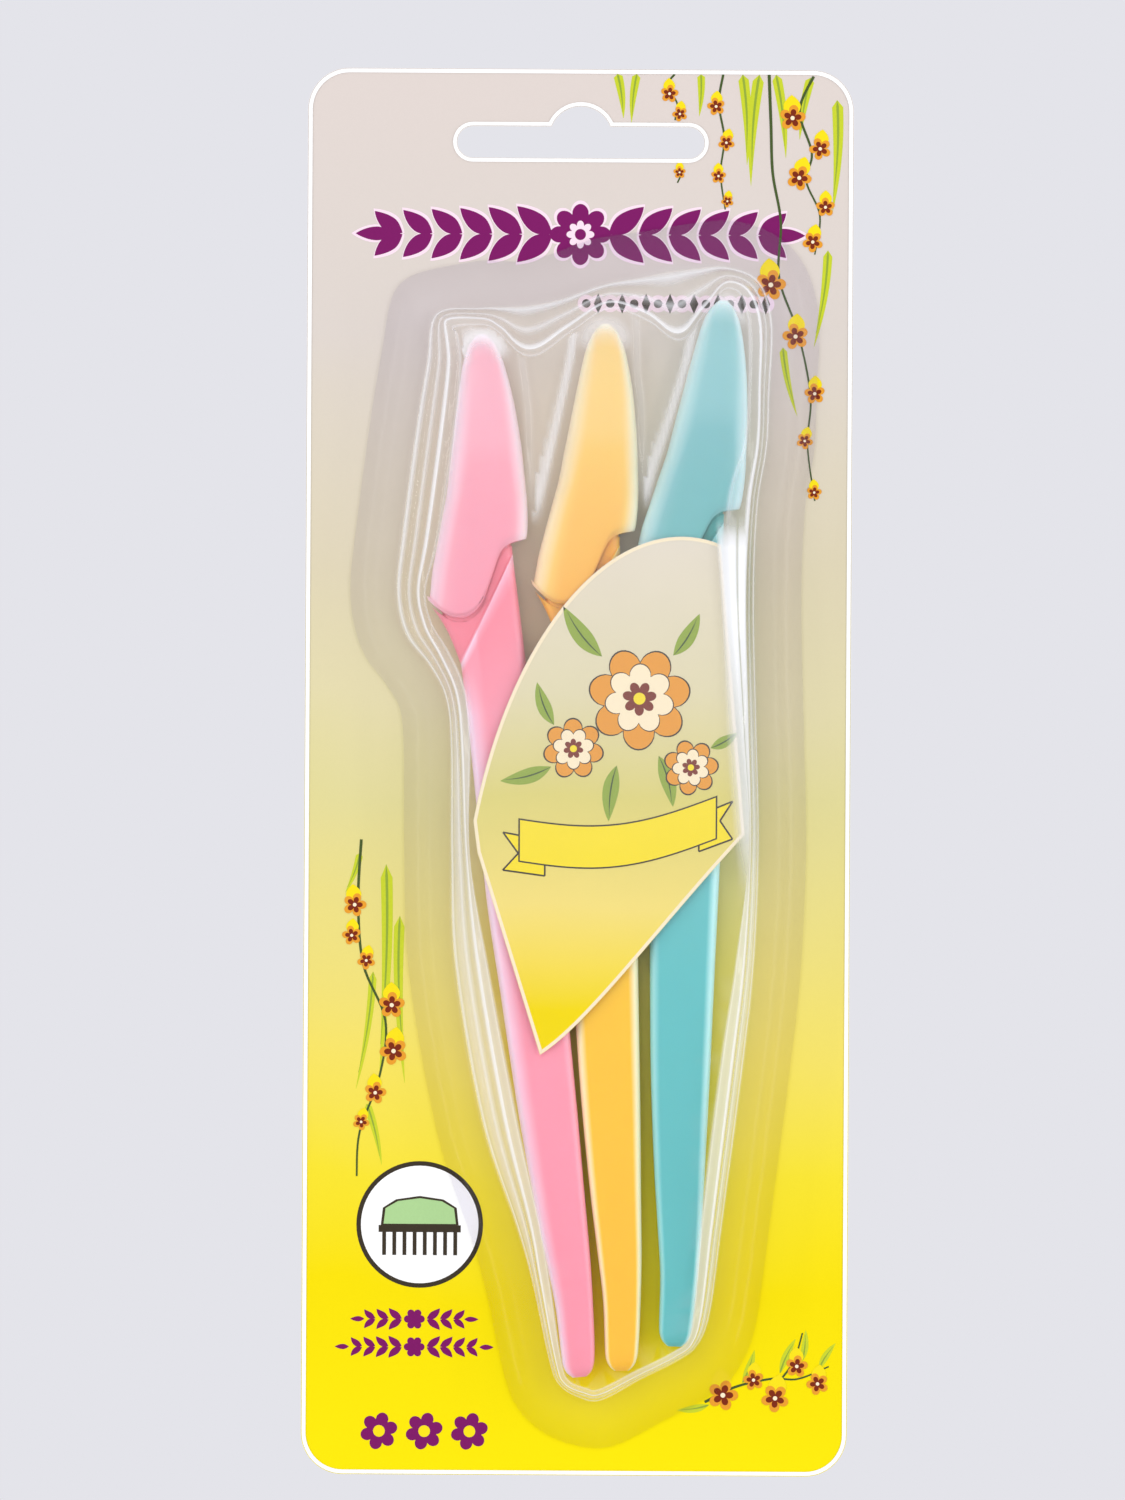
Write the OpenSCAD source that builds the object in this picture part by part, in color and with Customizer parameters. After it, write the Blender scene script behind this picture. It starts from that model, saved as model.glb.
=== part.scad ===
// Three eyebrow razors in a clear formed blister on a printed hang card.
// X runs to the right, Z runs up and the printed face looks towards -Y.
// The origin is the middle of the round peg notch, on the back of the card.

/* [Hang card] */
// Thickness of the board
card_t = 0.6; // [0.4:0.1:1]
// Radius of the card's corners
corner_r = 6; // [3:0.5:10]
// Board above the middle of the peg notch
head_margin = 9.9; // [8:0.1:16]
// Board beside the sealing flange
side_margin = 4.85; // [2:0.05:10]
// Board below the sealing flange
foot_margin = 4.1; // [2:0.1:12]
// Length of the hang slot
slot_len = 35.5; // [28:0.5:44]
// Height of the hang slot
slot_h = 4.5; // [4:0.1:6]
// Radius of the peg notch above the slot
peg_r = 4.5; // [4:0.1:5.5]
// Middle of the slot below the middle of the notch
slot_drop = 0.65; // [0.2:0.05:2]

/* [Razor] */
// Length of a razor with its cap on
razor_len = 150; // [135:1:165]
// Width of a cap across its mouth
razor_w = 14.7; // [13.5:0.1:16.5]
// Thickness of a cap, front to back
razor_t = 5.6; // [5:0.1:7]
// Wall of a cap
cap_wall = 0.9; // [0.7:0.05:1.1]
// Gap from the handle's shoulder to the mouth of the cap
mouth_gap = 0.55; // [0.4:0.05:0.8]
// Thickness of the flat head that holds the blade
head_t = 1.8; // [1.5:0.1:2]

/* [Blade] */
// Width of the blade strip
blade_w = 3.2; // [2.9:0.1:3.8]
// Thickness of the blade strip
blade_t = 0.25; // [0.2:0.01:0.3]
// Width of the ground edge
grind_w = 0.8; // [0.5:0.1:1.2]
// Gap round the blade in its slot
slot_play = 0.02; // [0.01:0.005:0.04]

/* [Comb guard] */
// Depth of the folded comb, from its bend to the head
guard_w = 2; // [1.7:0.1:2.3]
// Thickness of the comb's sheet steel
guard_sheet = 0.2; // [0.15:0.01:0.25]
// Gap between the comb and the blade
guard_play = 0.075; // [0.05:0.005:0.1]
// Gap between the comb's back edge and the head
seat_gap = 0.2; // [0.1:0.05:0.3]
// Width of the comb's unbroken back strip
spine_w = 0.6; // [0.4:0.05:0.8]
// Distance from one tooth of the comb to the next
tooth_pitch = 1.8; // [1.4:0.1:2.4]
// Gap between two teeth
tooth_gap = 0.9; // [0.6:0.05:1.1]

/* [Paper insert] */
// Thickness of the insert
insert_t = 0.2; // [0.15:0.05:0.4]
// Gap between the caps and the insert
insert_gap = 0.2; // [0.1:0.05:0.5]

/* [Blister] */
// Thickness of the film
film_t = 0.35; // [0.25:0.05:0.5]
// Width of the sealing flange
flange_w = 6.9; // [4:0.1:9]
// Fall from the peg notch to the top of the formed hollow
blister_drop = 18.5; // [17:0.5:26]
// Width of the stepped wall where it is one unit wide
wall_step = 3.2; // [2.6:0.1:3.6]
// Fall of the crown's sloping rim, which runs in as a valley between two caps
crown_fall = 0.7; // [0.4:0.05:0.75]
// Gap between the card and the backs of the caps
lay_gap = 0.3; // [0.2:0.05:0.5]
// Gap between the insert and the film
film_gap = 0.35; // [0.2:0.05:0.8]

/* [Hidden] */

board_ink = [0.94, 0.86, 0.42];
clear_film = [0.85, 0.92, 0.96, 0.35];
paper_ink = [0.95, 0.90, 0.66];
steel = [0.75, 0.77, 0.80];
pink = [1, 0.62, 0.73];
yellow = [1, 0.80, 0.33];
teal = [0.36, 0.75, 0.74];

// Overrun of every cut past the face that it opens
overrun = 1;
// Points round a section of a handle or cap
ring_count = 32;
// Points from one mark of the blister's outline to the next
outline_count = 3;
// Points to each side that steady the flange's outer edge
flange_reach_count = 4;
// Points along each curve of the insert
curve_count = 14;

// Where each razor lies: its foot and head across the card as shares of razor_w, and the
// fall of its head from the top of the hollow as a share of razor_len
pink_place_share = [0.051, -0.976, 0.067];
yellow_place_share = [0.459, 0.238, 0.056];
teal_place_share = [0.973, 1.384, 0.033];

// Edge of a cap's mouth: across as a share of razor_w, height as a share of razor_len
mouth_shares = [
    [-0.755, 0.753], [-0.67, 0.744], [-0.585, 0.737], [-0.5, 0.733], [-0.422, 0.732],
    [-0.33, 0.735], [-0.231, 0.744], [-0.14, 0.761], [-0.061, 0.779], [-0.01, 0.79],
    [0.041, 0.796], [0.12, 0.8], [0.245, 0.802]
];

// Sections up a handle. Columns: height at the left and at the right as shares of razor_len,
// left and right edge as shares of razor_w, thickness as a share of razor_t, and how far the
// section has turned to follow the mouth of the cap
handle_shares = [
    [0, 0, -0.068, 0.075, 0.29, 0],
    [0.005, 0.005, -0.119, 0.126, 0.54, 0],
    [0.015, 0.015, -0.153, 0.163, 0.68, 0],
    [0.06, 0.06, -0.163, 0.197, 0.73, 0],
    [0.117, 0.117, -0.218, 0.218, 0.77, 0],
    [0.167, 0.167, -0.272, 0.221, 0.79, 0],
    [0.267, 0.267, -0.354, 0.228, 0.79, 0],
    [0.367, 0.367, -0.408, 0.228, 0.79, 0],
    [0.467, 0.467, -0.459, 0.231, 0.79, 0],
    [0.567, 0.567, -0.469, 0.204, 0.79, 0],
    [0.633, 0.633, -0.473, 0.163, 0.79, 0],
    [0.687, 0.787, -0.486, 0.116, 0.79, 0],
    [0.691, 0.79, -0.497, 0.116, 0.61, 0],
    [0.707, 0.792, -0.599, 0.116, 0.61, 0.6],
    [0.733, 0.793, -0.721, 0.116, 0.61, 1]
];

// Sections up the flat head. Columns: height at the left and at the right, how far the left
// edge stands in from the seat of the comb, right edge, thickness as a share of head_t, turn
head_shares = [
    [0.733, 0.793, 0, 0.109, 1, 1],
    [0.767, 0.805, 0, 0.109, 1, 0],
    [0.853, 0.853, 0, 0.116, 1, 0],
    [0.92, 0.92, 0, 0.122, 1, 0],
    [0.943, 0.943, 0.01, 0.116, 1, 0],
    [0.952, 0.952, 0.035, 0.082, 0.7, 0]
];

// Sections up a cap, in the columns of handle_shares
cap_shares = [
    [0.747, 0.793, -0.755, 0.245, 1, 1],
    [0.807, 0.807, -0.687, 0.272, 1, 0.5],
    [0.84, 0.84, -0.503, 0.306, 1, 0],
    [0.88, 0.88, -0.408, 0.303, 1, 0],
    [0.92, 0.92, -0.32, 0.282, 0.94, 0],
    [0.953, 0.953, -0.245, 0.241, 0.82, 0],
    [0.977, 0.977, -0.18, 0.19, 0.64, 0],
    [0.992, 0.992, -0.109, 0.129, 0.45, 0],
    [1, 1, -0.027, 0.054, 0.21, 0]
];
// Sections of a cap that are too near its tip to be hollow
solid_tip_count = 2;

// Bend of the comb guard, from its lower end to its upper: across as a share of razor_w,
// height as a share of razor_len
guard_low_share = [-0.599, 0.763];
guard_high_share = [-0.177, 0.947];
// Length of the blade as a share of the comb's
blade_len_share = 0.965;

// Foot of the blister's wall, clockwise from the top left. Columns: across as a share of
// razor_w, fall as a share of razor_len, the wall's width there as a share of wall_step, the
// square root of such a share for the crown's sloping rim, so that the rim narrows to the point
// of a valley, and where a valley leans, its lean across as a share of razor_w
outline_shares = [
    [-1.4, 0.047, 0.56, 0.71], [-0.98, 0.041, 0.53, 0.55], [-0.76, 0.041, 0.94, 0.55],
    [-0.53, 0.041, 1.88, 2.76, -0.17], [-0.2, 0.034, 1.25, 0.55], [0.22, 0.019, 0.84, 0.55],
    [0.59, 0.013, 1.56, 0.59], [0.86, 0.009, 2.66, 2.68, -0.57], [1.14, 0.004, 1.72, 0.55],
    [1.44, 0.001, 0.75, 0.55], [1.74, 0.014, 0.69, 0.63], [1.87, 0.053, 0.53, 0.74],
    [1.85, 0.118, 0.44, 0.71], [1.83, 0.171, 0.41, 0.77], [1.74, 0.23, 0.37, 0.97],
    [1.71, 0.319, 0.4, 0.84], [1.74, 0.437, 0.4, 0.59], [1.77, 0.55, 0.4, 0.25],
    [1.73, 0.663, 0.45, 0.59], [1.63, 0.761, 0.5, 0.71], [1.43, 0.917, 0.45, 0.71],
    [1.32, 1, 0.4, 0.59], [1.2, 1.032, 0.31, 0.5], [1.01, 1.047, 0.31, 0.5],
    [0.65, 1.065, 0.31, 0.5], [0.27, 1.085, 0.37, 0.5], [0.06, 1.083, 0.37, 0.5],
    [-0.14, 1.071, 0.28, 0.5], [-0.24, 1.047, 0.28, 0.5], [-0.41, 0.971, 0.37, 0.63],
    [-0.56, 0.919, 0.62, 0.63], [-0.9, 0.818, 1, 0.71], [-1.17, 0.671, 1, 0.63],
    [-1.22, 0.563, 0.69, 0.35], [-1.23, 0.463, 0.5, 0.59], [-1.28, 0.415, 0.5, 0.63],
    [-1.44, 0.383, 0.62, 0.63], [-1.67, 0.353, 0.91, 0.55], [-1.76, 0.313, 0.94, 0.55],
    [-1.71, 0.257, 1.09, 0.71], [-1.58, 0.157, 1.09, 0.77], [-1.48, 0.094, 0.94, 0.74]
];
// Profile of the wall from its foot to below the crown's rim: way in and way up
wall_shares = [[0, 0], [0.25, 0.34], [0.55, 0.41], [0.8, 0.78]];

// Paper insert: the curve from its top right to its left point, and the one from its bottom
// point to its right point, in the first two columns of outline_shares
brow_curve_shares = [[1.39, 0.267], [0.41, 0.228], [-0.65, 0.343], [-1.01, 0.531]];
left_point_share = [-0.97, 0.561];
chin_curve_shares = [[-0.35, 0.754], [0.1, 0.727], [0.82, 0.63], [1.63, 0.543]];

blister_depth = lay_gap + razor_t + insert_gap + insert_t + film_gap + film_t;
wall_profile = concat(wall_shares, [[1, 1 - crown_fall / blister_depth]]);
hollow_half_w = razor_w * max([for (p = outline_shares) p[0]]);
hollow_fall = razor_len * max([for (p = outline_shares) p[1]]);
card_w = 2 * (hollow_half_w + flange_w + side_margin);
card_top = head_margin;
card_bottom = -(blister_drop + hollow_fall + flange_w + foot_margin);
guard_vector = spot(guard_high_share) - spot(guard_low_share);
guard_len = norm(guard_vector);
guard_lean = atan2(guard_vector[0], guard_vector[1]);
guard_inner = blade_t + 2 * guard_play;
guard_outer = guard_inner + 2 * guard_sheet;
edge_inset = guard_outer / 2 - guard_play;
blade_len = guard_len * blade_len_share;

// A place on a razor, from shares
function spot(share) = [share[0] * razor_w, share[1] * razor_len];

// A place on the card, from shares
function card_spot(share) = [share[0] * razor_w, -(blister_drop + share[1] * razor_len)];

function blend(a, b, t) = a + (b - a) * t;

// Height of the mouth of a cap at a distance across it
function mouth_height(across) = razor_len * lookup(across / razor_w, mouth_shares);

// Left edge of the head at a height, where the comb guard seats
function head_edge(height) =
    let (low = spot(guard_low_share))
    low[0] + (height - low[1]) * tan(guard_lean) + (guard_w + seat_gap) / cos(guard_lean);

// A rounded section, one unit to each side, that is square for a high power
function unit_ring(power) = [
    for (i = [0:ring_count - 1])
        let (a = 360 * i / ring_count, c = cos(a))
        [c, sign(sin(a)) * pow(1 - pow(abs(c), power), 1 / power)]
];

// One section of a handle or cap. The row holds heights, edges, thickness and turn
function section(row, power, gap) = [
    for (p = unit_ring(power))
        let (
            way = (p[0] + 1) / 2,
            across = blend(row[2], row[3], way),
            level = blend(row[0], row[1], way),
            turned = mouth_height(across) - gap
        )
        [across, p[1] * row[4] / 2, blend(level, turned, row[5])]
];

// Sizes of one row of shares, with a skin taken off all round
function sized(row, skin) = [
    row[0] * razor_len, row[1] * razor_len,
    row[2] * razor_w + skin, row[3] * razor_w - skin,
    row[4] * razor_t - 2 * skin, row[5]
];

function head_sized(row) = [
    row[0] * razor_len, row[1] * razor_len,
    head_edge(row[0] * razor_len) + row[2] * razor_w, row[3] * razor_w,
    row[4] * head_t, row[5]
];

// Faces of a skin over rings of equal count, listed from the low end to the high one
function skin_faces(rings, count) = concat(
    [[for (i = [0:count - 1]) i]],
    [for (k = [0:rings - 2], i = [0:count - 1], half = [0, 1])
        let (a = k * count + i, b = k * count + (i + 1) % count, c = b + count, d = a + count)
        half == 0 ? [a, d, c] : [a, c, b]],
    [[for (i = [0:count - 1]) rings * count - 1 - i]]
);

module skin(rings) {
    count = len(rings[0]);
    points = [for (ring = rings, p = ring) p];
    polyhedron(points = points, faces = skin_faces(len(rings), count));
}

// A smooth closed curve through marks, as a Catmull-Rom spline
function spline_at(p, q, r, s, t) =
    (2 * q + (r - p) * t + (2 * p - 5 * q + 4 * r - s) * t * t
    + (3 * q - p - 3 * r + s) * t * t * t) / 2;

function closed_spline(marks, steps) =
    let (n = len(marks))
    [for (i = [0:n - 1], k = [0:steps - 1])
        spline_at(marks[(i + n - 1) % n], marks[i], marks[(i + 1) % n], marks[(i + 2) % n],
            k / steps)];

function bezier(marks, t) =
    marks[0] * pow(1 - t, 3) + 3 * marks[1] * t * pow(1 - t, 2)
    + 3 * marks[2] * t * t * (1 - t) + marks[3] * pow(t, 3);

function bezier_points(shares) = [
    for (i = [0:curve_count]) bezier([for (s = shares) card_spot(s)], i / curve_count)
];

// The foot of the blister's wall, anticlockwise, with its width, the rim's root and the lean
blister_marks = [
    for (i = [len(outline_shares) - 1:-1:0])
        let (
            row = outline_shares[i],
            at = card_spot(row),
            lean = len(row) > 4 ? row[4] * razor_w : 0
        )
        [at[0], at[1], row[2] * wall_step, row[3], lean]
];
foot_line = closed_spline(blister_marks, outline_count);

// Outward direction at one point of the foot line, from the points this far to each side
function outward(i, reach) =
    let (
        n = len(foot_line),
        along = foot_line[(i + reach) % n] - foot_line[(i + n - reach) % n],
        size = norm([along[0], along[1]])
    )
    [along[1], -along[0]] / size;

// A ring of the blister: in from the foot by shares of the widths of wall and rim and an inset
function film_ring(share, rim_share, inset, height, reach = 1) = [
    for (i = [0:len(foot_line) - 1])
        let (
            p = foot_line[i],
            way_in = p[2] * share + pow(p[3], 2) * wall_step * rim_share + inset,
            at = [p[0] + p[4] * rim_share, p[1]] - outward(i, reach) * way_in
        )
        [at[0], at[1], height]
];

inner_rings = concat(
    [film_ring(1, 1, film_t, blister_depth - film_t)],
    [for (i = [len(wall_profile) - 1:-1:0])
        let (row = wall_profile[i])
        film_ring(row[0], 0, film_t, max(row[1] * blister_depth - film_t, 0))]
);
outer_rings = concat(
    [for (row = wall_profile) film_ring(row[0], 0, 0, max(row[1] * blister_depth, film_t))],
    [film_ring(1, 1, 0, blister_depth)]
);
flange_rings = [
    for (height = [0, film_t]) film_ring(0, 0, -flange_w, height, flange_reach_count)
];

// Stands flat work up against a plane in front of the card's back
module standing(gap) {
    translate([0, -gap, 0]) rotate([90, 0, 0]) children();
}

// Lays a razor in its place, with the middle of its thickness as its own XZ plane
module laid(place) {
    foot_x = place[0] * razor_w;
    head_x = place[1] * razor_w;
    lean = asin((head_x - foot_x) / razor_len);
    foot_z = -(blister_drop + place[2] * razor_len + razor_len * cos(lean));
    translate([foot_x, -(card_t + lay_gap + razor_t / 2), foot_z]) rotate([0, lean, 0])
        children();
}

// Frame of the blade and its comb: X runs into the head, Z runs along the edge
module along_edge() {
    low = spot(guard_low_share);
    translate([low[0], 0, low[1]]) rotate([0, guard_lean, 0]) children();
}

module rounded_sheet(w, low, high, r) {
    translate([-w / 2, low + r]) square([w, high - low - 2 * r]);
    translate([-w / 2 + r, low]) square([w - 2 * r, high - low]);
    for (x = [-w / 2 + r, w / 2 - r], y = [low + r, high - r])
        translate([x, y]) circle(r = r, $fn = 48);
}

module hang_slot() {
    translate([0, -slot_drop]) {
        square([slot_len - slot_h, slot_h], center = true);
        for (side = [-1, 1])
            translate([side * (slot_len - slot_h) / 2, 0]) circle(d = slot_h, $fn = 48);
    }
    intersection() {
        circle(r = peg_r, $fn = 64);
        translate([-peg_r, -slot_drop]) square(2 * peg_r);
    }
}

module card() {
    color(board_ink) standing(0) linear_extrude(height = card_t) difference() {
        rounded_sheet(card_w, card_bottom, card_top, corner_r);
        hang_slot();
    }
}

module blister() {
    color(clear_film) standing(card_t)
        skin(concat(inner_rings, flange_rings, outer_rings));
}

module label_insert() {
    level = card_t + lay_gap + razor_t + insert_gap;
    color(paper_ink) standing(level) linear_extrude(height = insert_t)
        polygon(concat(
            bezier_points(brow_curve_shares),
            [card_spot(left_point_share)],
            bezier_points(chin_curve_shares)
        ));
}

module handle(tint) {
    body = [for (row = handle_shares) section(sized(row, 0), 4, mouth_gap)];
    head = [for (row = head_shares) section(head_sized(row), 4, mouth_gap)];
    color(tint) difference() {
        skin(concat(body, head));
        along_edge() blade_block(slot_play);
    }
}

module cap(tint) {
    outer = [for (row = cap_shares) section(sized(row, 0), 3, 0)];
    hollow_top = len(cap_shares) - 1 - solid_tip_count;
    inner = [for (i = [hollow_top:-1:0]) section(sized(cap_shares[i], cap_wall), 3, 0)];
    color(tint) skin(concat(inner, outer));
}

// The room that the blade takes in the head, with a gap all round
module blade_block(gap) {
    translate([edge_inset - gap, -blade_t / 2 - gap, (guard_len - blade_len) / 2 - gap])
        cube([blade_w + 2 * gap, blade_t + 2 * gap, blade_len + 2 * gap]);
}

module blade() {
    flank = edge_inset + grind_w;
    back = edge_inset + blade_w;
    half = blade_t / 2;
    color(steel) along_edge() translate([0, 0, (guard_len - blade_len) / 2])
        linear_extrude(height = blade_len)
            polygon([[edge_inset, 0], [flank, -half], [back, -half], [back, half], [flank, half]]);
}

// A folded strip seen along its bend
module fold(thick) {
    translate([guard_outer / 2, 0]) circle(d = thick, $fn = 32);
    translate([guard_outer / 2, -thick / 2]) square([guard_w - guard_outer / 2, thick]);
}

module comb_guard() {
    tooth = tooth_pitch - tooth_gap;
    gap_count = floor((guard_len - tooth) / tooth_pitch);
    first = (guard_len - gap_count * tooth_pitch - tooth) / 2 + tooth;
    color(steel) along_edge() difference() {
        linear_extrude(height = guard_len) difference() {
            fold(guard_outer);
            fold(guard_inner);
            translate([guard_outer / 2, -guard_inner / 2]) square([guard_w, guard_inner]);
        }
        for (i = [0:gap_count - 1])
            translate([-overrun, -guard_outer / 2 - overrun, first + i * tooth_pitch])
                cube([guard_w - spine_w + overrun, guard_outer + 2 * overrun, tooth_gap]);
    }
}

card();
blister();
label_insert();
laid(pink_place_share) handle(pink);  // pink_handle
laid(pink_place_share) blade();  // pink_blade
laid(pink_place_share) comb_guard();  // pink_comb_guard
laid(pink_place_share) cap(pink);  // pink_cap
laid(yellow_place_share) handle(yellow);  // yellow_handle
laid(yellow_place_share) blade();  // yellow_blade
laid(yellow_place_share) comb_guard();  // yellow_comb_guard
laid(yellow_place_share) cap(yellow);  // yellow_cap
laid(teal_place_share) handle(teal);  // teal_handle
laid(teal_place_share) blade();  // teal_blade
laid(teal_place_share) comb_guard();  // teal_comb_guard
laid(teal_place_share) cap(teal);  // teal_cap
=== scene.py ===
"""Looks of the blister pack with three eyebrow razors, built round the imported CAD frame."""
import math

import bmesh
import bpy
from mathutils import Matrix, Vector
from mathutils import geometry, kdtree


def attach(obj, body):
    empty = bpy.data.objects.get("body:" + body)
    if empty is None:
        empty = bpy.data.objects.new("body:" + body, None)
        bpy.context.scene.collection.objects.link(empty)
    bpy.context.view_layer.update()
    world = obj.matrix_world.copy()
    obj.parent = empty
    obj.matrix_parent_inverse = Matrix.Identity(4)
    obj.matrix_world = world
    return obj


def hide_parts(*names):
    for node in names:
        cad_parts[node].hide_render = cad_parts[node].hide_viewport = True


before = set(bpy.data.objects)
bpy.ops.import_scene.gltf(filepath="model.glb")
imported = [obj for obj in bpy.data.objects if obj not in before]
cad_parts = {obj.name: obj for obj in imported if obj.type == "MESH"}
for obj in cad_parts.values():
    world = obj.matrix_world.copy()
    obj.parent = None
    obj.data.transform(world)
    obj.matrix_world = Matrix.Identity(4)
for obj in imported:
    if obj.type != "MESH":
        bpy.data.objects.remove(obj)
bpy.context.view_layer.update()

MM = 0.001

# ------------------------------------------------------------------ sizes, as in part.scad
CARD_T, CORNER_R, CARD_TOP = 0.6, 6.0, 9.9
SLOT_LEN, SLOT_H, PEG_R, SLOT_DROP = 35.5, 4.5, 4.5, 0.65
RAZOR_LEN, RAZOR_W, RAZOR_T = 150.0, 14.7, 5.6
CAP_WALL, MOUTH_GAP, HEAD_T = 0.9, 0.55, 1.8
BLADE_W, BLADE_T, SLOT_PLAY = 3.2, 0.25, 0.02
GUARD_W, GUARD_SHEET, GUARD_PLAY, SEAT_GAP = 2.0, 0.2, 0.075, 0.2
INSERT_T, INSERT_GAP, LAY_GAP, FILM_GAP, FILM_T = 0.2, 0.2, 0.3, 0.35, 0.35
FLANGE_W, BLISTER_DROP, WALL_STEP, CROWN_FALL = 6.9, 18.5, 3.2, 0.7
DEPTH = LAY_GAP + RAZOR_T + INSERT_GAP + INSERT_T + FILM_GAP + FILM_T

# PLACES: where each razor's foot and tip lie across the card, in widths of a razor, and how far its
# tip hangs below the hollow's top, in lengths. The other tables of a razor are in shares of its
# length, width and thickness, from the middle of its foot. MOUTH holds points of a cap's slanted
# mouth. A row of HANDLE, NECK, HEAD or CAP is a section: its height at the left and at the right
# edge, both edges, its thickness, and how far it follows the mouth. The left edge of a HEAD row
# counts from the comb guard's seat.
PLACES = {"pink": (0.051, -0.976, 0.067), "yellow": (0.459, 0.238, 0.056),
          "teal": (0.973, 1.384, 0.033)}
MOUTH = [(-0.755, 0.753), (-0.67, 0.744), (-0.585, 0.737), (-0.5, 0.733), (-0.422, 0.732),
         (-0.33, 0.735), (-0.231, 0.744), (-0.14, 0.761), (-0.061, 0.779), (-0.01, 0.79),
         (0.041, 0.796), (0.12, 0.8), (0.245, 0.802)]
HANDLE = [(0, 0, -0.068, 0.075, 0.29, 0), (0.005, 0.005, -0.119, 0.126, 0.54, 0),
          (0.015, 0.015, -0.153, 0.163, 0.68, 0), (0.06, 0.06, -0.163, 0.197, 0.73, 0),
          (0.117, 0.117, -0.218, 0.218, 0.77, 0), (0.167, 0.167, -0.272, 0.221, 0.79, 0),
          (0.267, 0.267, -0.354, 0.228, 0.79, 0), (0.367, 0.367, -0.408, 0.228, 0.79, 0),
          (0.467, 0.467, -0.459, 0.231, 0.79, 0), (0.567, 0.567, -0.469, 0.204, 0.79, 0),
          (0.633, 0.633, -0.473, 0.163, 0.79, 0), (0.687, 0.787, -0.486, 0.116, 0.79, 0)]
NECK = [(0.691, 0.79, -0.497, 0.116, 0.61, 0), (0.707, 0.792, -0.599, 0.116, 0.61, 0.6),
        (0.733, 0.793, -0.721, 0.116, 0.61, 1)]
HEAD = [(0.733, 0.793, 0, 0.109, 1, 1), (0.767, 0.805, 0, 0.109, 1, 0),
        (0.853, 0.853, 0, 0.116, 1, 0), (0.92, 0.92, 0, 0.122, 1, 0),
        (0.943, 0.943, 0.01, 0.116, 1, 0), (0.952, 0.952, 0.035, 0.082, 0.7, 0)]
CAP = [(0.747, 0.793, -0.755, 0.245, 1, 1), (0.807, 0.807, -0.687, 0.272, 1, 0.5),
       (0.84, 0.84, -0.503, 0.306, 1, 0), (0.88, 0.88, -0.408, 0.303, 1, 0),
       (0.92, 0.92, -0.32, 0.282, 0.94, 0), (0.953, 0.953, -0.245, 0.241, 0.82, 0),
       (0.977, 0.977, -0.18, 0.19, 0.64, 0), (0.992, 0.992, -0.109, 0.129, 0.45, 0),
       (1, 1, -0.027, 0.054, 0.21, 0)]
GUARD_LOW, GUARD_HIGH, BLADE_LEN_SHARE = (-0.599, 0.763), (-0.177, 0.947), 0.965
# Foot of the hollow's wall on the card, across and down in a razor's widths and lengths, with how
# far in the wall and then the rim run there, in steps of WALL_STEP
OUTLINE = [
    (-1.4, 0.047, 0.56, 0.5), (-0.98, 0.041, 0.53, 0.3), (-0.76, 0.041, 0.94, 0.3),
    (-0.53, 0.041, 1.88, 0.35), (-0.2, 0.034, 1.25, 0.3), (0.22, 0.019, 0.84, 0.3),
    (0.59, 0.013, 1.56, 0.35), (0.86, 0.009, 2.66, 0.35), (1.14, 0.004, 1.72, 0.3),
    (1.44, 0.001, 0.75, 0.3), (1.74, 0.014, 0.69, 0.4), (1.87, 0.053, 0.53, 0.55),
    (1.85, 0.118, 0.44, 0.5), (1.83, 0.171, 0.41, 0.6), (1.74, 0.23, 0.37, 0.95),
    (1.71, 0.319, 0.4, 0.7), (1.74, 0.437, 0.4, 0.35), (1.77, 0.55, 0.4, 0.06),
    (1.73, 0.663, 0.45, 0.35), (1.63, 0.761, 0.5, 0.5), (1.43, 0.917, 0.45, 0.5),
    (1.32, 1, 0.4, 0.35), (1.2, 1.032, 0.31, 0.25), (1.01, 1.047, 0.31, 0.25),
    (0.65, 1.065, 0.31, 0.25), (0.27, 1.085, 0.37, 0.25), (0.06, 1.083, 0.37, 0.25),
    (-0.14, 1.071, 0.28, 0.25), (-0.24, 1.047, 0.28, 0.25), (-0.41, 0.971, 0.37, 0.4),
    (-0.56, 0.919, 0.62, 0.4), (-0.9, 0.818, 1, 0.5), (-1.17, 0.671, 1, 0.4),
    (-1.22, 0.563, 0.69, 0.12), (-1.23, 0.463, 0.5, 0.35), (-1.28, 0.415, 0.5, 0.4),
    (-1.44, 0.383, 0.62, 0.4), (-1.67, 0.353, 0.91, 0.3), (-1.76, 0.313, 0.94, 0.3),
    (-1.71, 0.257, 1.09, 0.5), (-1.58, 0.157, 1.09, 0.6), (-1.48, 0.094, 0.94, 0.55)]
# Valleys of the crown between two caps: fall, left side, right side and depth in shares
VALLEYS = [[(0.045, -0.62, -0.03, 1), (0.087, -0.57, -0.09, 1), (0.143, -0.5, -0.205, 0.95),
            (0.207, -0.48, -0.335, 0.7), (0.25, -0.47, -0.41, 0)],
           [(0.02, 0.54, 1.17, 1), (0.087, 0.55, 1.045, 1), (0.143, 0.6, 0.885, 0.95),
            (0.207, 0.61, 0.7, 0.6), (0.235, 0.62, 0.65, 0)]]
VALLEY_SIDE = 0.13
# The paper insert, in the same shares: its curved upper edge, its left point, its curved lower edge
BROW = [(1.39, 0.267), (0.41, 0.228), (-0.65, 0.343), (-1.01, 0.531)]
LEFT_POINT = (-0.97, 0.561)
CHIN = [(-0.35, 0.754), (0.1, 0.727), (0.82, 0.63), (1.63, 0.543)]

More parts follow.
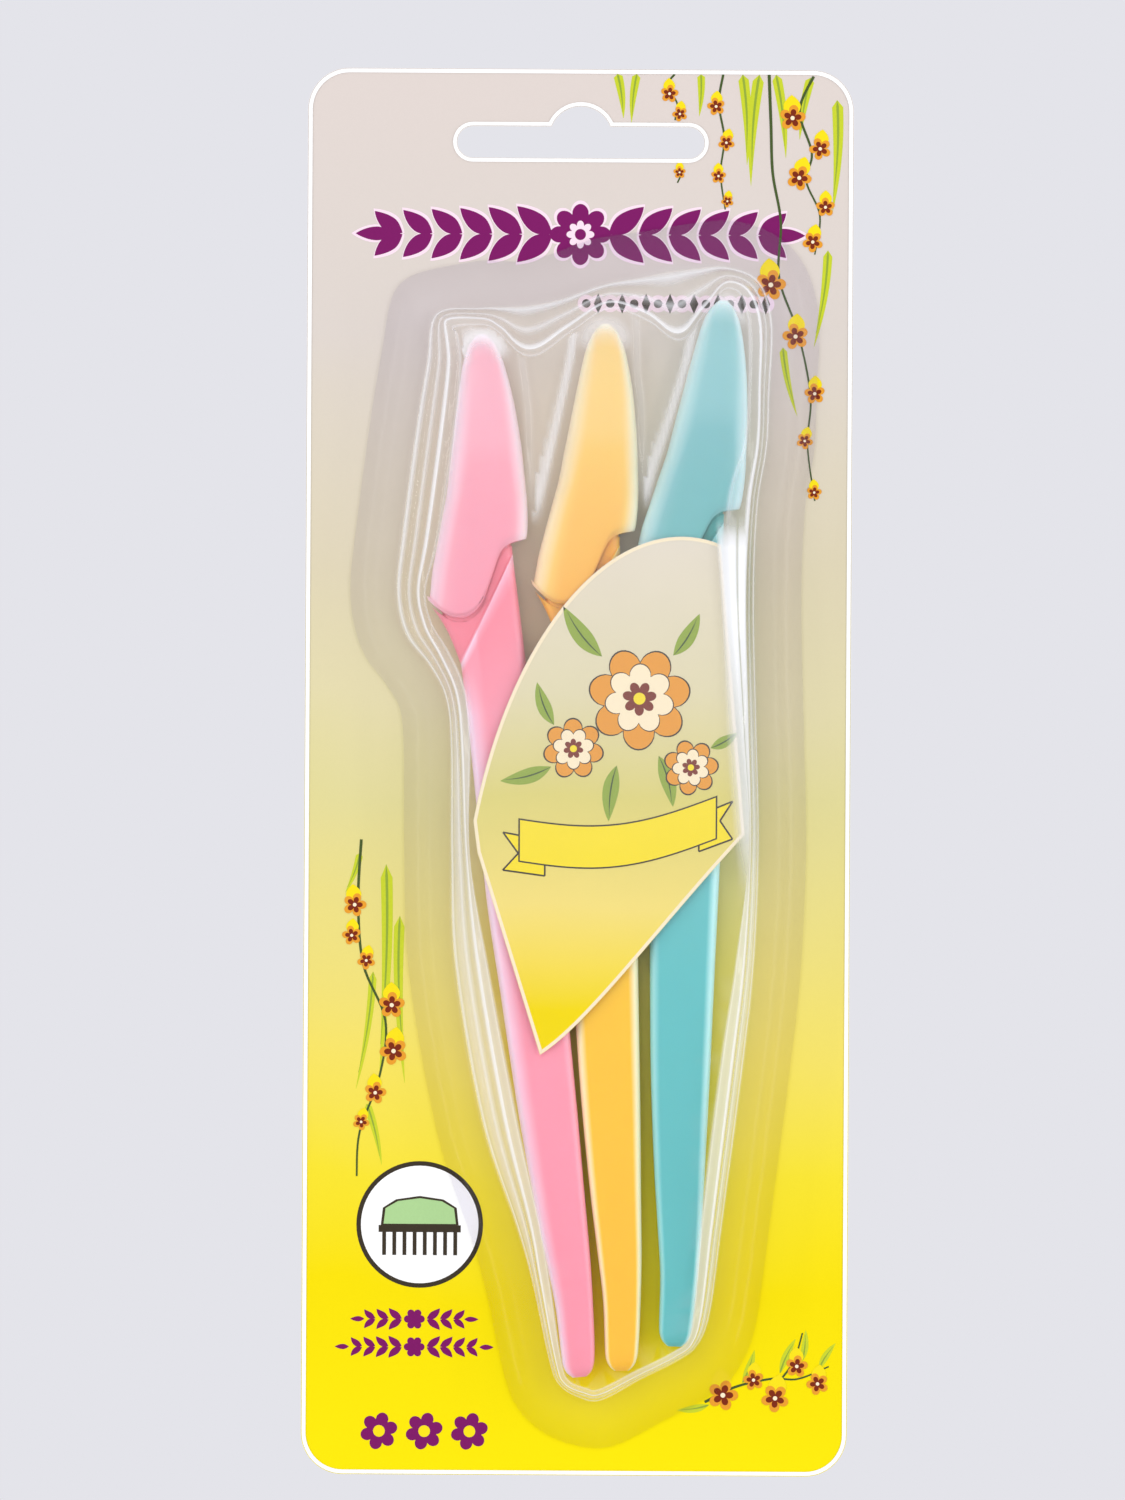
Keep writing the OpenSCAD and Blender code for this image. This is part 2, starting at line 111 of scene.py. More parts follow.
# Card left bare beside the flange and below it
SIDE_MARGIN, FOOT_MARGIN = 4.85, 4.1
CARD_W = 2 * (RAZOR_W * max(p[0] for p in OUTLINE) + FLANGE_W + SIDE_MARGIN)
CARD_BOTTOM = -(BLISTER_DROP + RAZOR_LEN * max(p[1] for p in OUTLINE) + FLANGE_W + FOOT_MARGIN)
FRONT = -CARD_T
INSERT_FRONT = -(CARD_T + LAY_GAP + RAZOR_T + INSERT_GAP + INSERT_T)


# ------------------------------------------------------------------ small helpers
def srgb(text):
    """Hex colour to linear rgba."""
    parts = [int(text[i:i + 2], 16) / 255 for i in (1, 3, 5)]
    lin = [c / 12.92 if c <= 0.04045 else ((c + 0.055) / 1.055) ** 2.4 for c in parts]
    return (*lin, 1.0)


def mix(a, b, t):
    return a + (b - a) * t


def ease(start, end, value):
    """From 0 at start to 1 at end, soft at both ends."""
    t = max(0.0, min(1.0, (value - start) / (end - start)))
    return t * t * (3 - 2 * t)


def monotone(xs, ys, x):
    """Smooth interpolation that doesn't overshoot its marks."""
    n = len(xs)
    h = [xs[i + 1] - xs[i] for i in range(n - 1)]
    d = [(ys[i + 1] - ys[i]) / h[i] for i in range(n - 1)]
    m = [d[0]] + [0 if d[i - 1] * d[i] <= 0 else
                  2 * d[i - 1] * d[i] / (d[i - 1] + d[i]) for i in range(1, n - 1)] + [d[-1]]
    i = max(0, min(n - 2, next((k for k in range(n - 1) if x <= xs[k + 1]), n - 2)))
    t = (x - xs[i]) / h[i]
    return (ys[i] * (1 + 2 * t) * (1 - t) ** 2 + m[i] * h[i] * t * (1 - t) ** 2
            + ys[i + 1] * t * t * (3 - 2 * t) + m[i + 1] * h[i] * t * t * (t - 1))


def finer(rows, count):
    """More rows of a table, smoothly between the given ones."""
    marks = [0.0]
    for a, b in zip(rows, rows[1:]):
        step = math.dist((a[0] * 8, a[2], a[3], a[4]), (b[0] * 8, b[2], b[3], b[4]))
        marks.append(marks[-1] + max(step, 1e-3))
    cols = list(zip(*rows))
    return [[monotone(marks, c, marks[-1] * k / (count - 1)) for c in cols]
            for k in range(count)]


def catmull(p, q, r, s, t):
    """A point between q and r of the smooth line through all four."""
    return tuple((2 * b + (c - a) * t + (2 * a - 5 * b + 4 * c - d) * t * t
                  + (3 * b - a - 3 * c + d) * t ** 3) / 2 for a, b, c, d in zip(p, q, r, s))


def bezier(marks, t):
    """A point of the cubic curve with these four marks."""
    return tuple(a * (1 - t) ** 3 + 3 * b * t * (1 - t) ** 2 + 3 * c * t * t * (1 - t) + d * t ** 3
                 for a, b, c, d in zip(*marks))


def spot(share):
    """A place on a razor, in millimetres from the middle of its foot."""
    return (share[0] * RAZOR_W, share[1] * RAZOR_LEN)


def card_spot(share):
    """A place on the card, across and up in millimetres."""
    return (share[0] * RAZOR_W, -(BLISTER_DROP + share[1] * RAZOR_LEN))


def link(name, data):
    """A new object of the scene, at the origin."""
    obj = bpy.data.objects.new(name, data)
    bpy.context.scene.collection.objects.link(obj)
    return obj


def mesh_object(name, verts, faces, smooth=True):
    """A mesh piece from points in millimetres in the row frame."""
    mesh = bpy.data.meshes.new(name)
    mesh.from_pydata([Vector(v) * MM for v in verts], [], faces)
    mesh.validate()
    for p in mesh.polygons:
        p.use_smooth = smooth
    return link(name, mesh)


def point_values(obj, name, values):
    """Gives each point of a mesh a number of its own."""
    obj.data.attributes.new(name, "FLOAT", "POINT").data.foreach_set("value", values)


def bake(obj):
    """An object's shape, with what its modifiers do to it, as a new plain mesh."""
    deps = bpy.context.evaluated_depsgraph_get()
    return bpy.data.meshes.new_from_object(obj.evaluated_get(deps))


def bake_modifiers(obj):
    """Leaves an object with the plain mesh that its modifiers make."""
    mesh = bake(obj)
    obj.modifiers.clear()
    obj.data = mesh


def outward(mesh, weld=0.0):
    """Turns the faces of a closed mesh outward, once points closer than weld metres are merged."""
    bm = bmesh.new()
    bm.from_mesh(mesh)
    if weld:
        bmesh.ops.remove_doubles(bm, verts=bm.verts, dist=weld)
    bmesh.ops.recalc_face_normals(bm, faces=bm.faces)
    bm.to_mesh(mesh)
    bm.free()


def flat(name, loops, front, thick, bevel):
    """A flat piece cut to closed outlines in millimetres, x across and z up. Its printed face is at
    y = front, and inner outlines are holes."""
    curve = bpy.data.curves.new(name, "CURVE")
    curve.dimensions = "2D"
    curve.fill_mode = "BOTH"
    curve.extrude = (thick / 2 - bevel) * MM
    curve.bevel_depth = bevel * MM
    curve.bevel_resolution = 2
    for loop in loops:
        line = curve.splines.new("POLY")
        line.points.add(len(loop) - 1)
        for point, at in zip(line.points, loop):
            point.co = (at[0] * MM, at[1] * MM, 0, 1)
        line.use_cyclic_u = True
    outline = link(name + "_outline", curve)
    mesh = bake(outline)
    bpy.data.objects.remove(outline)
    bpy.data.curves.remove(curve)
    mesh.transform(Matrix.Translation((0, (front + thick / 2) * MM, 0))
                   @ Matrix.Rotation(math.radians(90), 4, "X"))
    outward(mesh, 1e-7)
    for p in mesh.polygons:
        p.use_smooth = False
    return link(name, mesh)


# ------------------------------------------------------------------ nodes
def add(tree, kind, inputs=None, **settings):
    """Adds a node with its settings. Each input is given a value, or linked to a node's first
    output, to a named output, or to a list of them."""
    node = tree.nodes.new(kind)
    for name, value in settings.items():
        setattr(node, name, value)
    for socket, given in (inputs or {}).items():
        for source in given if isinstance(given, list) else [given]:
            if isinstance(source, bpy.types.Node):
                source = source.outputs[0]
            if isinstance(source, bpy.types.NodeSocket):
                tree.links.new(source, node.inputs[socket])
            else:
                node.inputs[socket].default_value = source
    return node


def new_finish(name):
    """A new material, its node tree, and Object coordinates in millimetres."""
    mat = bpy.data.materials.new(name)
    mat.use_nodes = True
    tree = mat.node_tree
    tree.nodes.clear()
    place = add(tree, "ShaderNodeTexCoord").outputs["Object"]
    return mat, tree, add(tree, "ShaderNodeVectorMath", {0: place, 1: (1 / MM,) * 3},
                          operation="MULTIPLY")


def finished(mat, shader):
    """The material, with its shader joined to its output."""
    add(mat.node_tree, "ShaderNodeOutputMaterial", {"Surface": shader})
    return mat


def tinted(tree, colour, factor, spread):
    """A colour that varies lightly in value with a factor about one half."""
    value = add(tree, "ShaderNodeMath", {0: factor, 1: 2 * spread, 2: 1 - spread},
                operation="MULTIPLY_ADD")
    return add(tree, "ShaderNodeHueSaturation", {"Value": value, "Color": colour})


def set_stops(node, stops):
    """Fills a colour ramp with places and hex colours."""
    elements = node.color_ramp.elements
    while len(elements) < len(stops):
        elements.new(0.5)
    for element, (place, colour) in zip(elements, stops):
        element.position = place
        element.color = srgb(colour)


# ------------------------------------------------------------------ materials
# How much the finer grains of every noise count
GRAIN = 0.55


def ink(name, colour, spread=0.04):
    """Offset ink on varnished paper: one flat colour with a soft sheen. The grain of its screen is
    too fine for the render, so it is drawn 0.35 mm wide."""
    mat, tree, at = new_finish(name)
    grain = add(tree, "ShaderNodeTexNoise", {
        "Vector": at, "Scale": 1 / 0.35, "Detail": 3, "Roughness": GRAIN})
    relief = add(tree, "ShaderNodeBump", {
        "Height": grain, "Strength": 0.15, "Distance": 0.004 * MM})
    return finished(mat, add(tree, "ShaderNodeBsdfPrincipled", {
        "Base Color": tinted(tree, srgb(colour), grain, spread), "Roughness": 0.38,
        "Normal": relief, "Specular IOR Level": 0.1}))


def printed_fade(name, stops, top, bottom):
    """Greyboard, offset printed with a fade down its height and varnished: even and satin, with the
    fibres of the paper, which are drawn 0.25 mm wide to show, just under the ink."""
    mat, tree, at = new_finish(name)
    height = add(tree, "ShaderNodeSeparateXYZ", {0: at}).outputs[2]
    fall = add(tree, "ShaderNodeMapRange", {
        "Value": height, "From Min": top, "From Max": bottom})
    cloud = add(tree, "ShaderNodeTexNoise", {
        "Vector": at, "Scale": 1 / 26, "Detail": 1, "Roughness": GRAIN})
    shift = add(tree, "ShaderNodeMath", {0: cloud, 1: 0.06, 2: -0.03}, operation="MULTIPLY_ADD")
    place = add(tree, "ShaderNodeMath", {0: fall, 1: shift}, operation="ADD", use_clamp=True)
    fade = add(tree, "ShaderNodeValToRGB", {0: place})
    set_stops(fade, stops)
    fibre = add(tree, "ShaderNodeTexNoise", {
        "Vector": at, "Scale": 1 / 0.25, "Detail": 4, "Roughness": GRAIN})
    relief = add(tree, "ShaderNodeBump", {
        "Height": fibre, "Strength": 0.2, "Distance": 0.006 * MM})
    return finished(mat, add(tree, "ShaderNodeBsdfPrincipled", {
        "Base Color": tinted(tree, fade, fibre, 0.018), "Roughness": 0.36, "Normal": relief,
        "Specular IOR Level": 0.08}))


def paper_stock(name, colour, rough):
    """Unprinted board, pressed from pulp: matt, with fibres that lie along the sheet and a few
    darker specks about a millimetre wide."""
    mat, tree, at = new_finish(name)
    along = add(tree, "ShaderNodeVectorMath", {0: at, 1: (1, 1, 0.35)}, operation="MULTIPLY")
    fibre = add(tree, "ShaderNodeTexNoise", {
        "Vector": along, "Scale": 1 / 0.3, "Detail": 5, "Roughness": GRAIN})
    speck = add(tree, "ShaderNodeTexNoise", {
        "Vector": at, "Scale": 1 / 1.1, "Detail": 2, "Roughness": GRAIN})
    few = add(tree, "ShaderNodeMath", {0: speck, 1: 0.3}, operation="MULTIPLY")
    pulp = add(tree, "ShaderNodeMath", {0: fibre, 1: 0.7, 2: few}, operation="MULTIPLY_ADD")
    relief = add(tree, "ShaderNodeBump", {
        "Height": fibre, "Strength": 0.4, "Distance": 0.02 * MM})
    return finished(mat, add(tree, "ShaderNodeBsdfPrincipled", {
        "Base Color": tinted(tree, srgb(colour), pulp, 0.06), "Roughness": rough,
        "Normal": relief}))


def moulded(name, deep, body, pale):
    """Polypropylene, injection moulded in a satin mould; light goes a little way in. The mesh
    attribute rim paints light and shade into the colour: pale is painted highlight on thin edges
    and bevels, deep is painted shade in folds and by the mouth. A cloud of flow some 14 mm wide
    runs through the colour, and the skin of the mould is drawn 0.5 mm coarse to show."""
    mat, tree, at = new_finish(name)
    flow = add(tree, "ShaderNodeVectorMath", {0: at, 1: (1, 1, 0.4)}, operation="MULTIPLY")
    cloud = add(tree, "ShaderNodeTexNoise", {
        "Vector": flow, "Scale": 1 / 14, "Detail": 2, "Roughness": GRAIN})
    # Painted light: rim above zero paints highlight, below zero paints shade
    rim = add(tree, "ShaderNodeAttribute", attribute_name="rim").outputs["Fac"]
    place = add(tree, "ShaderNodeMath", {0: rim, 1: 0.5, 2: 0.5}, operation="MULTIPLY_ADD",
                use_clamp=True)
    painted_light_ramp = add(tree, "ShaderNodeValToRGB", {0: place})
    set_stops(painted_light_ramp, [(0.0, deep), (0.5, body), (1.0, pale)])
    skin = add(tree, "ShaderNodeTexNoise", {
        "Vector": at, "Scale": 1 / 0.5, "Detail": 2, "Roughness": GRAIN})
    relief = add(tree, "ShaderNodeBump", {
        "Height": skin, "Strength": 0.12, "Distance": 0.01 * MM})
    return finished(mat, add(tree, "ShaderNodeBsdfPrincipled", {
        "Base Color": tinted(tree, painted_light_ramp, cloud, 0.03), "Roughness": 0.34, "Normal": relief,
        "Subsurface Weight": 0.4, "Subsurface Radius": (1.0, 0.75, 0.6),
        "Subsurface Scale": 1.8 * MM, "Coat Weight": 0.12, "Coat Roughness": 0.22}))


def brushed(name, colour, rough, stretch):
    """Stainless steel strip with the lines of its grinding or stamping, which are drawn 0.12 mm
    apart to show: bright along them and dull across."""
    mat, tree, at = new_finish(name)
    along = add(tree, "ShaderNodeVectorMath", {0: at, 1: stretch}, operation="MULTIPLY")
    lines = add(tree, "ShaderNodeTexNoise", {
        "Vector": along, "Scale": 1 / 0.12, "Detail": 3, "Roughness": GRAIN})
    dull = add(tree, "ShaderNodeMath", {0: lines, 1: 0.15, 2: rough - 0.07},
               operation="MULTIPLY_ADD")
    relief = add(tree, "ShaderNodeBump", {
        "Height": lines, "Strength": 0.2, "Distance": 0.004 * MM})
    return finished(mat, add(tree, "ShaderNodeBsdfPrincipled", {
        "Base Color": tinted(tree, srgb(colour), lines, 0.08), "Metallic": 1.0,
        "Roughness": dull, "Normal": relief}))


def clear_film(name, tint, gloss, least):
    """Clear PET film, thermoformed: what is behind shows through, under a gloss that grows at a
    glance and ripples where the sheet was drawn. The mesh attribute for haze and painted light is
    the share of milky white: some is the film's haze, most is painted highlight and reflection
    along its bends, valleys, tips and strips, and painted light that lifts the shade on the crown."""
    mat, tree, at = new_finish(name)
    ripple = add(tree, "ShaderNodeTexNoise", {
        "Vector": at, "Scale": 1 / 6, "Detail": 2, "Roughness": GRAIN})
    fine = add(tree, "ShaderNodeTexNoise", {
        "Vector": at, "Scale": 1 / 1.2, "Detail": 2, "Roughness": GRAIN})
    height = add(tree, "ShaderNodeMath", {0: fine, 1: 0.12, 2: ripple},
                 operation="MULTIPLY_ADD")
    relief = add(tree, "ShaderNodeBump", {
        "Height": height, "Strength": 0.35, "Distance": 0.25 * MM})
    through = add(tree, "ShaderNodeBsdfTransparent", {0: srgb(tint)})
    # Milky white: the film's haze, and painted highlight, reflection and light
    haze_and_painted_white = add(tree, "ShaderNodeBsdfDiffuse", {0: srgb("#FAFBFD")})
    haze_and_painted_light = add(tree, "ShaderNodeAttribute", attribute_name="haze_and_painted_light").outputs["Fac"]
    sheet = add(tree, "ShaderNodeMixShader", {0: haze_and_painted_light, 1: through, 2: haze_and_painted_white})
    shine = add(tree, "ShaderNodeBsdfGlossy", {
        "Color": srgb("#FFFFFF"), "Roughness": gloss, "Normal": relief})
    facing = add(tree, "ShaderNodeLayerWeight", {
        "Blend": 0.5, "Normal": relief}).outputs["Facing"]
    steep = add(tree, "ShaderNodeMath", {0: facing, 1: 5.0}, operation="POWER")
    glance = add(tree, "ShaderNodeMath", {0: steep, 1: 0.96, 2: least},
                 operation="MULTIPLY_ADD", use_clamp=True)
    return finished(mat, add(tree, "ShaderNodeMixShader", {0: glance, 1: sheet, 2: shine}))


def film_back(name, tint):
    """The inner face of the PET film. Its outer face holds the gloss."""
    mat, tree, at = new_finish(name)
    cloud = add(tree, "ShaderNodeTexNoise", {
        "Vector": at, "Scale": 1 / 9, "Detail": 2, "Roughness": GRAIN})
    return finished(mat, add(tree, "ShaderNodeBsdfTransparent", {
        0: tinted(tree, srgb(tint), cloud, 0.01)}))


MAT = {
    # Greyboard with a white printed face
    "board": printed_fade("offset_printed_greyboard", [
        (0.0, "#D9CEC6"), (0.18, "#D5CCC2"), (0.35, "#D6CCAD"), (0.45, "#DAD1A4"),
        (0.52, "#D9D191"), (0.7, "#EBD960"), (0.79, "#EEDB2E"), (0.87, "#F0DA00"),
        (1.0, "#F4E200")], CARD_TOP, CARD_BOTTOM),
    "back": paper_stock("bare_greyboard_back", "#D9D5CB", 0.75),
    "edge": paper_stock("cut_board_core", "#FBF9F2", 0.6),
    "insert": printed_fade("offset_printed_paper", [
        (0.0, "#DFD6C3"), (0.3, "#DBD3AC"), (0.5, "#D7CD74"), (0.72, "#EDD978"),
        (0.83, "#EFD750"), (0.91, "#EDD400")], -58.0, -131.0),
    # Polypropylene mouldings: deep (painted shade), body and pale (painted highlight) colour of
    # each
    "pink": moulded("pink_moulded_polypropylene", "#F2788A", "#FF9DB0", "#FFDCEE"),
    "yellow": moulded("yellow_moulded_polypropylene", "#FFA800", "#FFC834", "#FFEFC0"),
    "teal": moulded("teal_moulded_polypropylene", "#0C9A90", "#66C2C2", "#BFF2F0"),
    # The caps are painted paler copies of the handles' plastic, standing in for light that comes
    # through their thin hollow walls
    "pink_cap": moulded("pink_cap_polypropylene", "#FF97AC", "#FFA6B6", "#FFE2EC"),
    "yellow_cap": moulded("yellow_cap_polypropylene", "#FFA800", "#FFCC62", "#FFF0CC"),
    "teal_cap": moulded("teal_cap_polypropylene", "#5CB6B2", "#7CBEC0", "#D2F0F0"),
    # Stainless strip: lines along the blade, and across the comb's fold
    "steel": brushed("ground_stainless_blade", "#C9CCD0", 0.28, (1, 1, 0.05)),
    "guard": brushed("stamped_stainless_comb", "#B4B8BD", 0.34, (0.05, 1, 1)),
    # PET film: glossy where it was drawn, duller where it is sealed to the card
    "film": clear_film("thermoformed_pet_film", "#FFFFFF", 0.04, 0.014),
    "flange": clear_film("heat_sealed_pet_flange", "#F9F8FC", 0.14, 0.006),
    "film_back": film_back("pet_film_inner_face", "#FEFEFE"),
    # Offset inks
    "plum": ink("plum_offset_ink", "#7A1560"),
    "halo": ink("pale_pink_offset_ink", "#F3DCE6", 0.02),
    "dark": ink("dark_offset_line_ink", "#3B3326"),
    "lime": ink("lime_offset_ink", "#C3CE2E", 0.08),
    "leaf": ink("leaf_green_offset_ink", "#8FA63A", 0.08),
    "stem": ink("stem_green_offset_ink", "#45572B", 0.06),
    "orange": ink("orange_offset_ink", "#E49A2C", 0.08),
    "maroon": ink("maroon_offset_ink", "#7A2A12", 0.06),
    "cream": ink("cream_offset_ink", "#F6E7C4", 0.03),
    "white": ink("white_offset_ink", "#FBFBF8", 0.01),
    "banner": ink("warm_yellow_offset_ink", "#F2DC17"),
    "mint": ink("mint_offset_ink", "#A9CF8E"),
}


def give(obj, *keys):
    """Sets a piece's materials."""
    obj.data.materials.clear()
    for key in keys:
        obj.data.materials.append(MAT[key])


def two_sided(sheet, printed):
    """Print on the front of a sheet, bare board behind, and its core round the edge."""
    give(sheet, printed, "back", "edge")
    for p in sheet.data.polygons:
        p.material_index = 0 if p.normal.y < -0.9 else 1 if p.normal.y > 0.9 else 2


# ------------------------------------------------------------------ outlines
# Steps of a card's corner, of a slot's end, of the peg notch and of an insert's curve
CORNER_STEPS, SLOT_STEPS, PEG_STEPS, INSERT_STEPS = 14, 16, 18, 40


def arc(cx, cz, r, start_deg, end_deg, count):
    """Points of an arc about a centre."""
    return [polar((cx, cz), r, mix(start_deg, end_deg, i / count)) for i in range(count + 1)]


def card_outline(inset):
    """The card's edge, in by inset."""
    w, r = CARD_W / 2 - inset, CORNER_R - inset
    top, low = CARD_TOP - inset, CARD_BOTTOM + inset
    out = []
    for cx, cz, a in ((w - r, top - r, 0), (-w + r, top - r, 90), (-w + r, low + r, 180),
                      (w - r, low + r, 270)):
        out += arc(cx, cz, r, a, a + 90, CORNER_STEPS)
    return out


def slot_outline(grow):
    """The hang slot with its round peg notch, out by grow."""
    r = SLOT_H / 2 + grow
    top = -SLOT_DROP + r
    peg = PEG_R + grow
    half = math.degrees(math.acos(top / peg))
    side = (SLOT_LEN - SLOT_H) / 2
    return (arc(side, -SLOT_DROP, r, -90, 90, SLOT_STEPS)
            + arc(0, 0, peg, 90 - half, 90 + half, PEG_STEPS)
            + arc(-side, -SLOT_DROP, r, 90, 270, SLOT_STEPS))


def insert_outline(inset):
    """The insert's edge, in by inset, with mitred corners."""
    shares = [i / INSERT_STEPS for i in range(INSERT_STEPS + 1)]
    pts = [card_spot(bezier(BROW, t)) for t in shares] + [card_spot(LEFT_POINT)]
    pts = [Vector(p) for p in pts + [card_spot(bezier(CHIN, t)) for t in shares]]
    moved = []
    for i, p in enumerate(pts):
        before = (p - pts[i - 1]).normalized()
        after = (pts[(i + 1) % len(pts)] - p).normalized()
        along = (before + after).normalized()
        reach = inset / along.dot(before)
        moved.append((p.x - along.y * reach, p.y + along.x * reach))
    return moved


# ------------------------------------------------------------------ hang card
# How far the sheets' looks stay inside their solids, which is also the radius of their edges
CARD_TRIM, INSERT_TRIM = 0.05, 0.03


def make_card():
    """The hang card: board with round corners and the hang slot."""
    board = flat("hang_card_board", [card_outline(CARD_TRIM), slot_outline(CARD_TRIM)], FRONT,
                 CARD_T, CARD_TRIM)
    two_sided(board, "board")
    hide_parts("card")
    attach(board, "hang_card")


# ------------------------------------------------------------------ print
# Thickness of a layer of ink, how deep its sides go in it, and how far apart it spreads the shapes
# of one colour
INK_T, INK_SIDE, INK_SPREAD = 0.012, 0.8, 0.5


def ink_object(name, shapes, front):
    """Ink with its face at y = front. Each shape is a list of closed outlines, the first its edge
    and the other its hole."""
    verts, faces = [], []
    for k, loops in enumerate(shapes):
        y = front - INK_T * INK_SPREAD * k / len(shapes)
        rings = [[Vector((x, y, z)) for x, z in loop] for loop in loops]
        start_at = len(verts)
        points = [p for ring in rings for p in ring]
        verts += points
        n = len(rings[0])
        if len(rings) == 2:
            tris = [t for i in range(n) for j in [(i + 1) % n]
                    for t in ((i, j, n + j), (i, n + j, n + i))]
        else:
            tris = geometry.tessellate_polygon(rings)
        for tri in tris:
            a, b, c = (points[i] for i in tri)
            turn = (b - a).cross(c - a).y
            faces.append([start_at + i for i in (tri if turn > 0 else tri[::-1])])
        at = start_at
        for ring in rings:
            n = len(ring)
            back = len(verts)
            verts += [p + Vector((0, INK_T * INK_SIDE, 0)) for p in ring]
            faces += [(at + i, at + (i + 1) % n, back + (i + 1) % n, back + i) for i in range(n)]
            at += n
    return mesh_object(name, verts, faces, False)


def print_on(name, shapes, key, layer, on="hang_card"):
    """Ink of one colour on the card or on the insert. A higher layer lies over a lower one."""
    sheet = FRONT if on == "hang_card" else INSERT_FRONT
    piece = ink_object(name, shapes, sheet - INK_T * layer)
    give(piece, key)
    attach(piece, on)


def motif_tree():
    """Geometry nodes that print motifs on spots: two motifs in turn, each as large as its spot's
    radius times Size, and turned as its spot says."""
    tree = bpy.data.node_groups.new("motifs_on_spots", "GeometryNodeTree")
    tree.interface.new_socket("Geometry", in_out="OUTPUT", socket_type="NodeSocketGeometry")
    for name, kind in (("Spots", "Geometry"), ("First motif", "Object"),
                       ("Second motif", "Object"), ("Size", "Float"), ("Ink", "Material")):
        tree.interface.new_socket(name, in_out="INPUT", socket_type="NodeSocket" + kind)
    given = add(tree, "NodeGroupInput").outputs
    radius = add(tree, "GeometryNodeInputNamedAttribute", {"Name": "radius"}, data_type="FLOAT")
    turn = add(tree, "GeometryNodeInputNamedAttribute", {"Name": "turn"}, data_type="FLOAT")
    wide = add(tree, "ShaderNodeMath", {0: radius, 1: given["Size"]}, operation="MULTIPLY")
    scale = add(tree, "ShaderNodeCombineXYZ", {0: wide, 1: 1.0, 2: wide})
    heading = add(tree, "FunctionNodeEulerToRotation", {
        0: add(tree, "ShaderNodeCombineXYZ", {1: turn})})
    second = add(tree, "ShaderNodeMath", {0: add(tree, "GeometryNodeInputIndex"), 1: 2.0},
                 operation="MODULO")
    first = add(tree, "FunctionNodeBooleanMath", {0: second}, operation="NOT")
    printed = []
    for motif, picked in (("First motif", first), ("Second motif", second)):
        shape = add(tree, "GeometryNodeObjectInfo", {"Object": given[motif]})
        printed.append(add(tree, "GeometryNodeInstanceOnPoints", {
            "Points": given["Spots"], "Selection": picked,
            "Instance": shape.outputs["Geometry"], "Rotation": heading, "Scale": scale}))
    real = add(tree, "GeometryNodeRealizeInstances", {
        0: add(tree, "GeometryNodeJoinGeometry", {0: printed})})
    inked = add(tree, "GeometryNodeSetMaterial", {"Geometry": real, "Material": given["Ink"]})
    add(tree, "NodeGroupOutput", {0: inked})
    return tree


MOTIFS_ON_SPOTS = motif_tree()


def print_motifs(name, motifs, spots, key, layer, size=1.0):
    """The same motif, or two in turn, in one ink of the card on each spot: across, height, radius
    and turn in degrees."""
    front, step = FRONT - INK_T * layer, INK_T * INK_SPREAD / len(spots)
    piece = mesh_object(name, [(s[0], front - step * k, s[1]) for k, s in enumerate(spots)], [])
    point_values(piece, "radius", [s[2] for s in spots])
    point_values(piece, "turn", [-math.radians(s[3]) for s in spots])
    shapes = [ink_object("%s_motif_%d" % (name, k), [[m]], 0.0) for k, m in enumerate(motifs)]
    inputs = {"First motif": shapes[0], "Second motif": shapes[-1], "Size": size,
              "Ink": MAT[key]}
    growth = piece.modifiers.new("motifs_on_spots", "NODES")
    growth.node_group = MOTIFS_ON_SPOTS
    for socket in MOTIFS_ON_SPOTS.interface.items_tree:
        if socket.in_out == "INPUT" and socket.name in inputs:
            growth[socket.identifier] = inputs[socket.name]
    bake_modifiers(piece)
    for shape in shapes:
        bpy.data.objects.remove(shape)
    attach(piece, "hang_card")


# ------------------------------------------------------------------ printed motifs
# Steps along a leaf and along each part of a stem, steps of a blossom's petal, and where a leaf is
# widest, in shares of its length
LEAF_STEPS, STEM_STEPS, PETAL_STEPS, BELLY, STRAP_BELLY = 16, 8, 12, 0.42, 0.03


def polar(at, r, degrees):
    """The point at a distance and a heading from another."""
    a = math.radians(degrees)
    return (at[0] + r * math.cos(a), at[1] + r * math.sin(a))


def both_sides(line):
    """Closed outline along a line, each row of which is a point, its direction and half a width."""
    left, right = [], []
    for x, z, dx, dz, w in line:
        size = max(math.hypot(dx, dz), 1e-6)
        left.append((x - dz / size * w, z + dx / size * w))
        right.append((x + dz / size * w, z - dx / size * w))
    return left + right[::-1]


def leaf(base, length, heading, width, bend=0.0, belly=BELLY):
    """Outline of a leaf: from its base along a heading in degrees, bent to its left."""
    tip = polar(base, length, heading)
    side = polar((0, 0), bend, heading + 90)
    middle = [mix(a, b, 0.5) + c for a, b, c in zip(base, tip, side)]
    line = []
    for i in range(LEAF_STEPS + 1):
        t = i / LEAF_STEPS
        place = [mix(mix(a, b, t), mix(b, c, t), t) for a, b, c in zip(base, middle, tip)]
        way = [2 * mix(b - a, c - b, t) for a, b, c in zip(base, middle, tip)]
        rise = t / belly if t < belly else (1 - t) / (1 - belly)
        line.append((*place, *way, max(0.02, width / 2 * math.sin(rise * math.pi / 2) ** 0.85)))
    return both_sides(line)


def stalk(marks, wide, narrow):
    """Outline of a stem through marks, thinning towards its end."""
    ends = [marks[0]] + marks + [marks[-1]]
    pts = [catmull(*ends[i - 1:i + 3], k / STEM_STEPS)
           for i in range(1, len(ends) - 2) for k in range(STEM_STEPS)] + [marks[-1]]
    line = []
    for i, p in enumerate(pts):
        a, b = pts[max(i - 1, 0)], pts[min(i + 1, len(pts) - 1)]
        line.append((*p, b[0] - a[0], b[1] - a[1], mix(wide, narrow, i / (len(pts) - 1)) / 2))
    return both_sides(line)


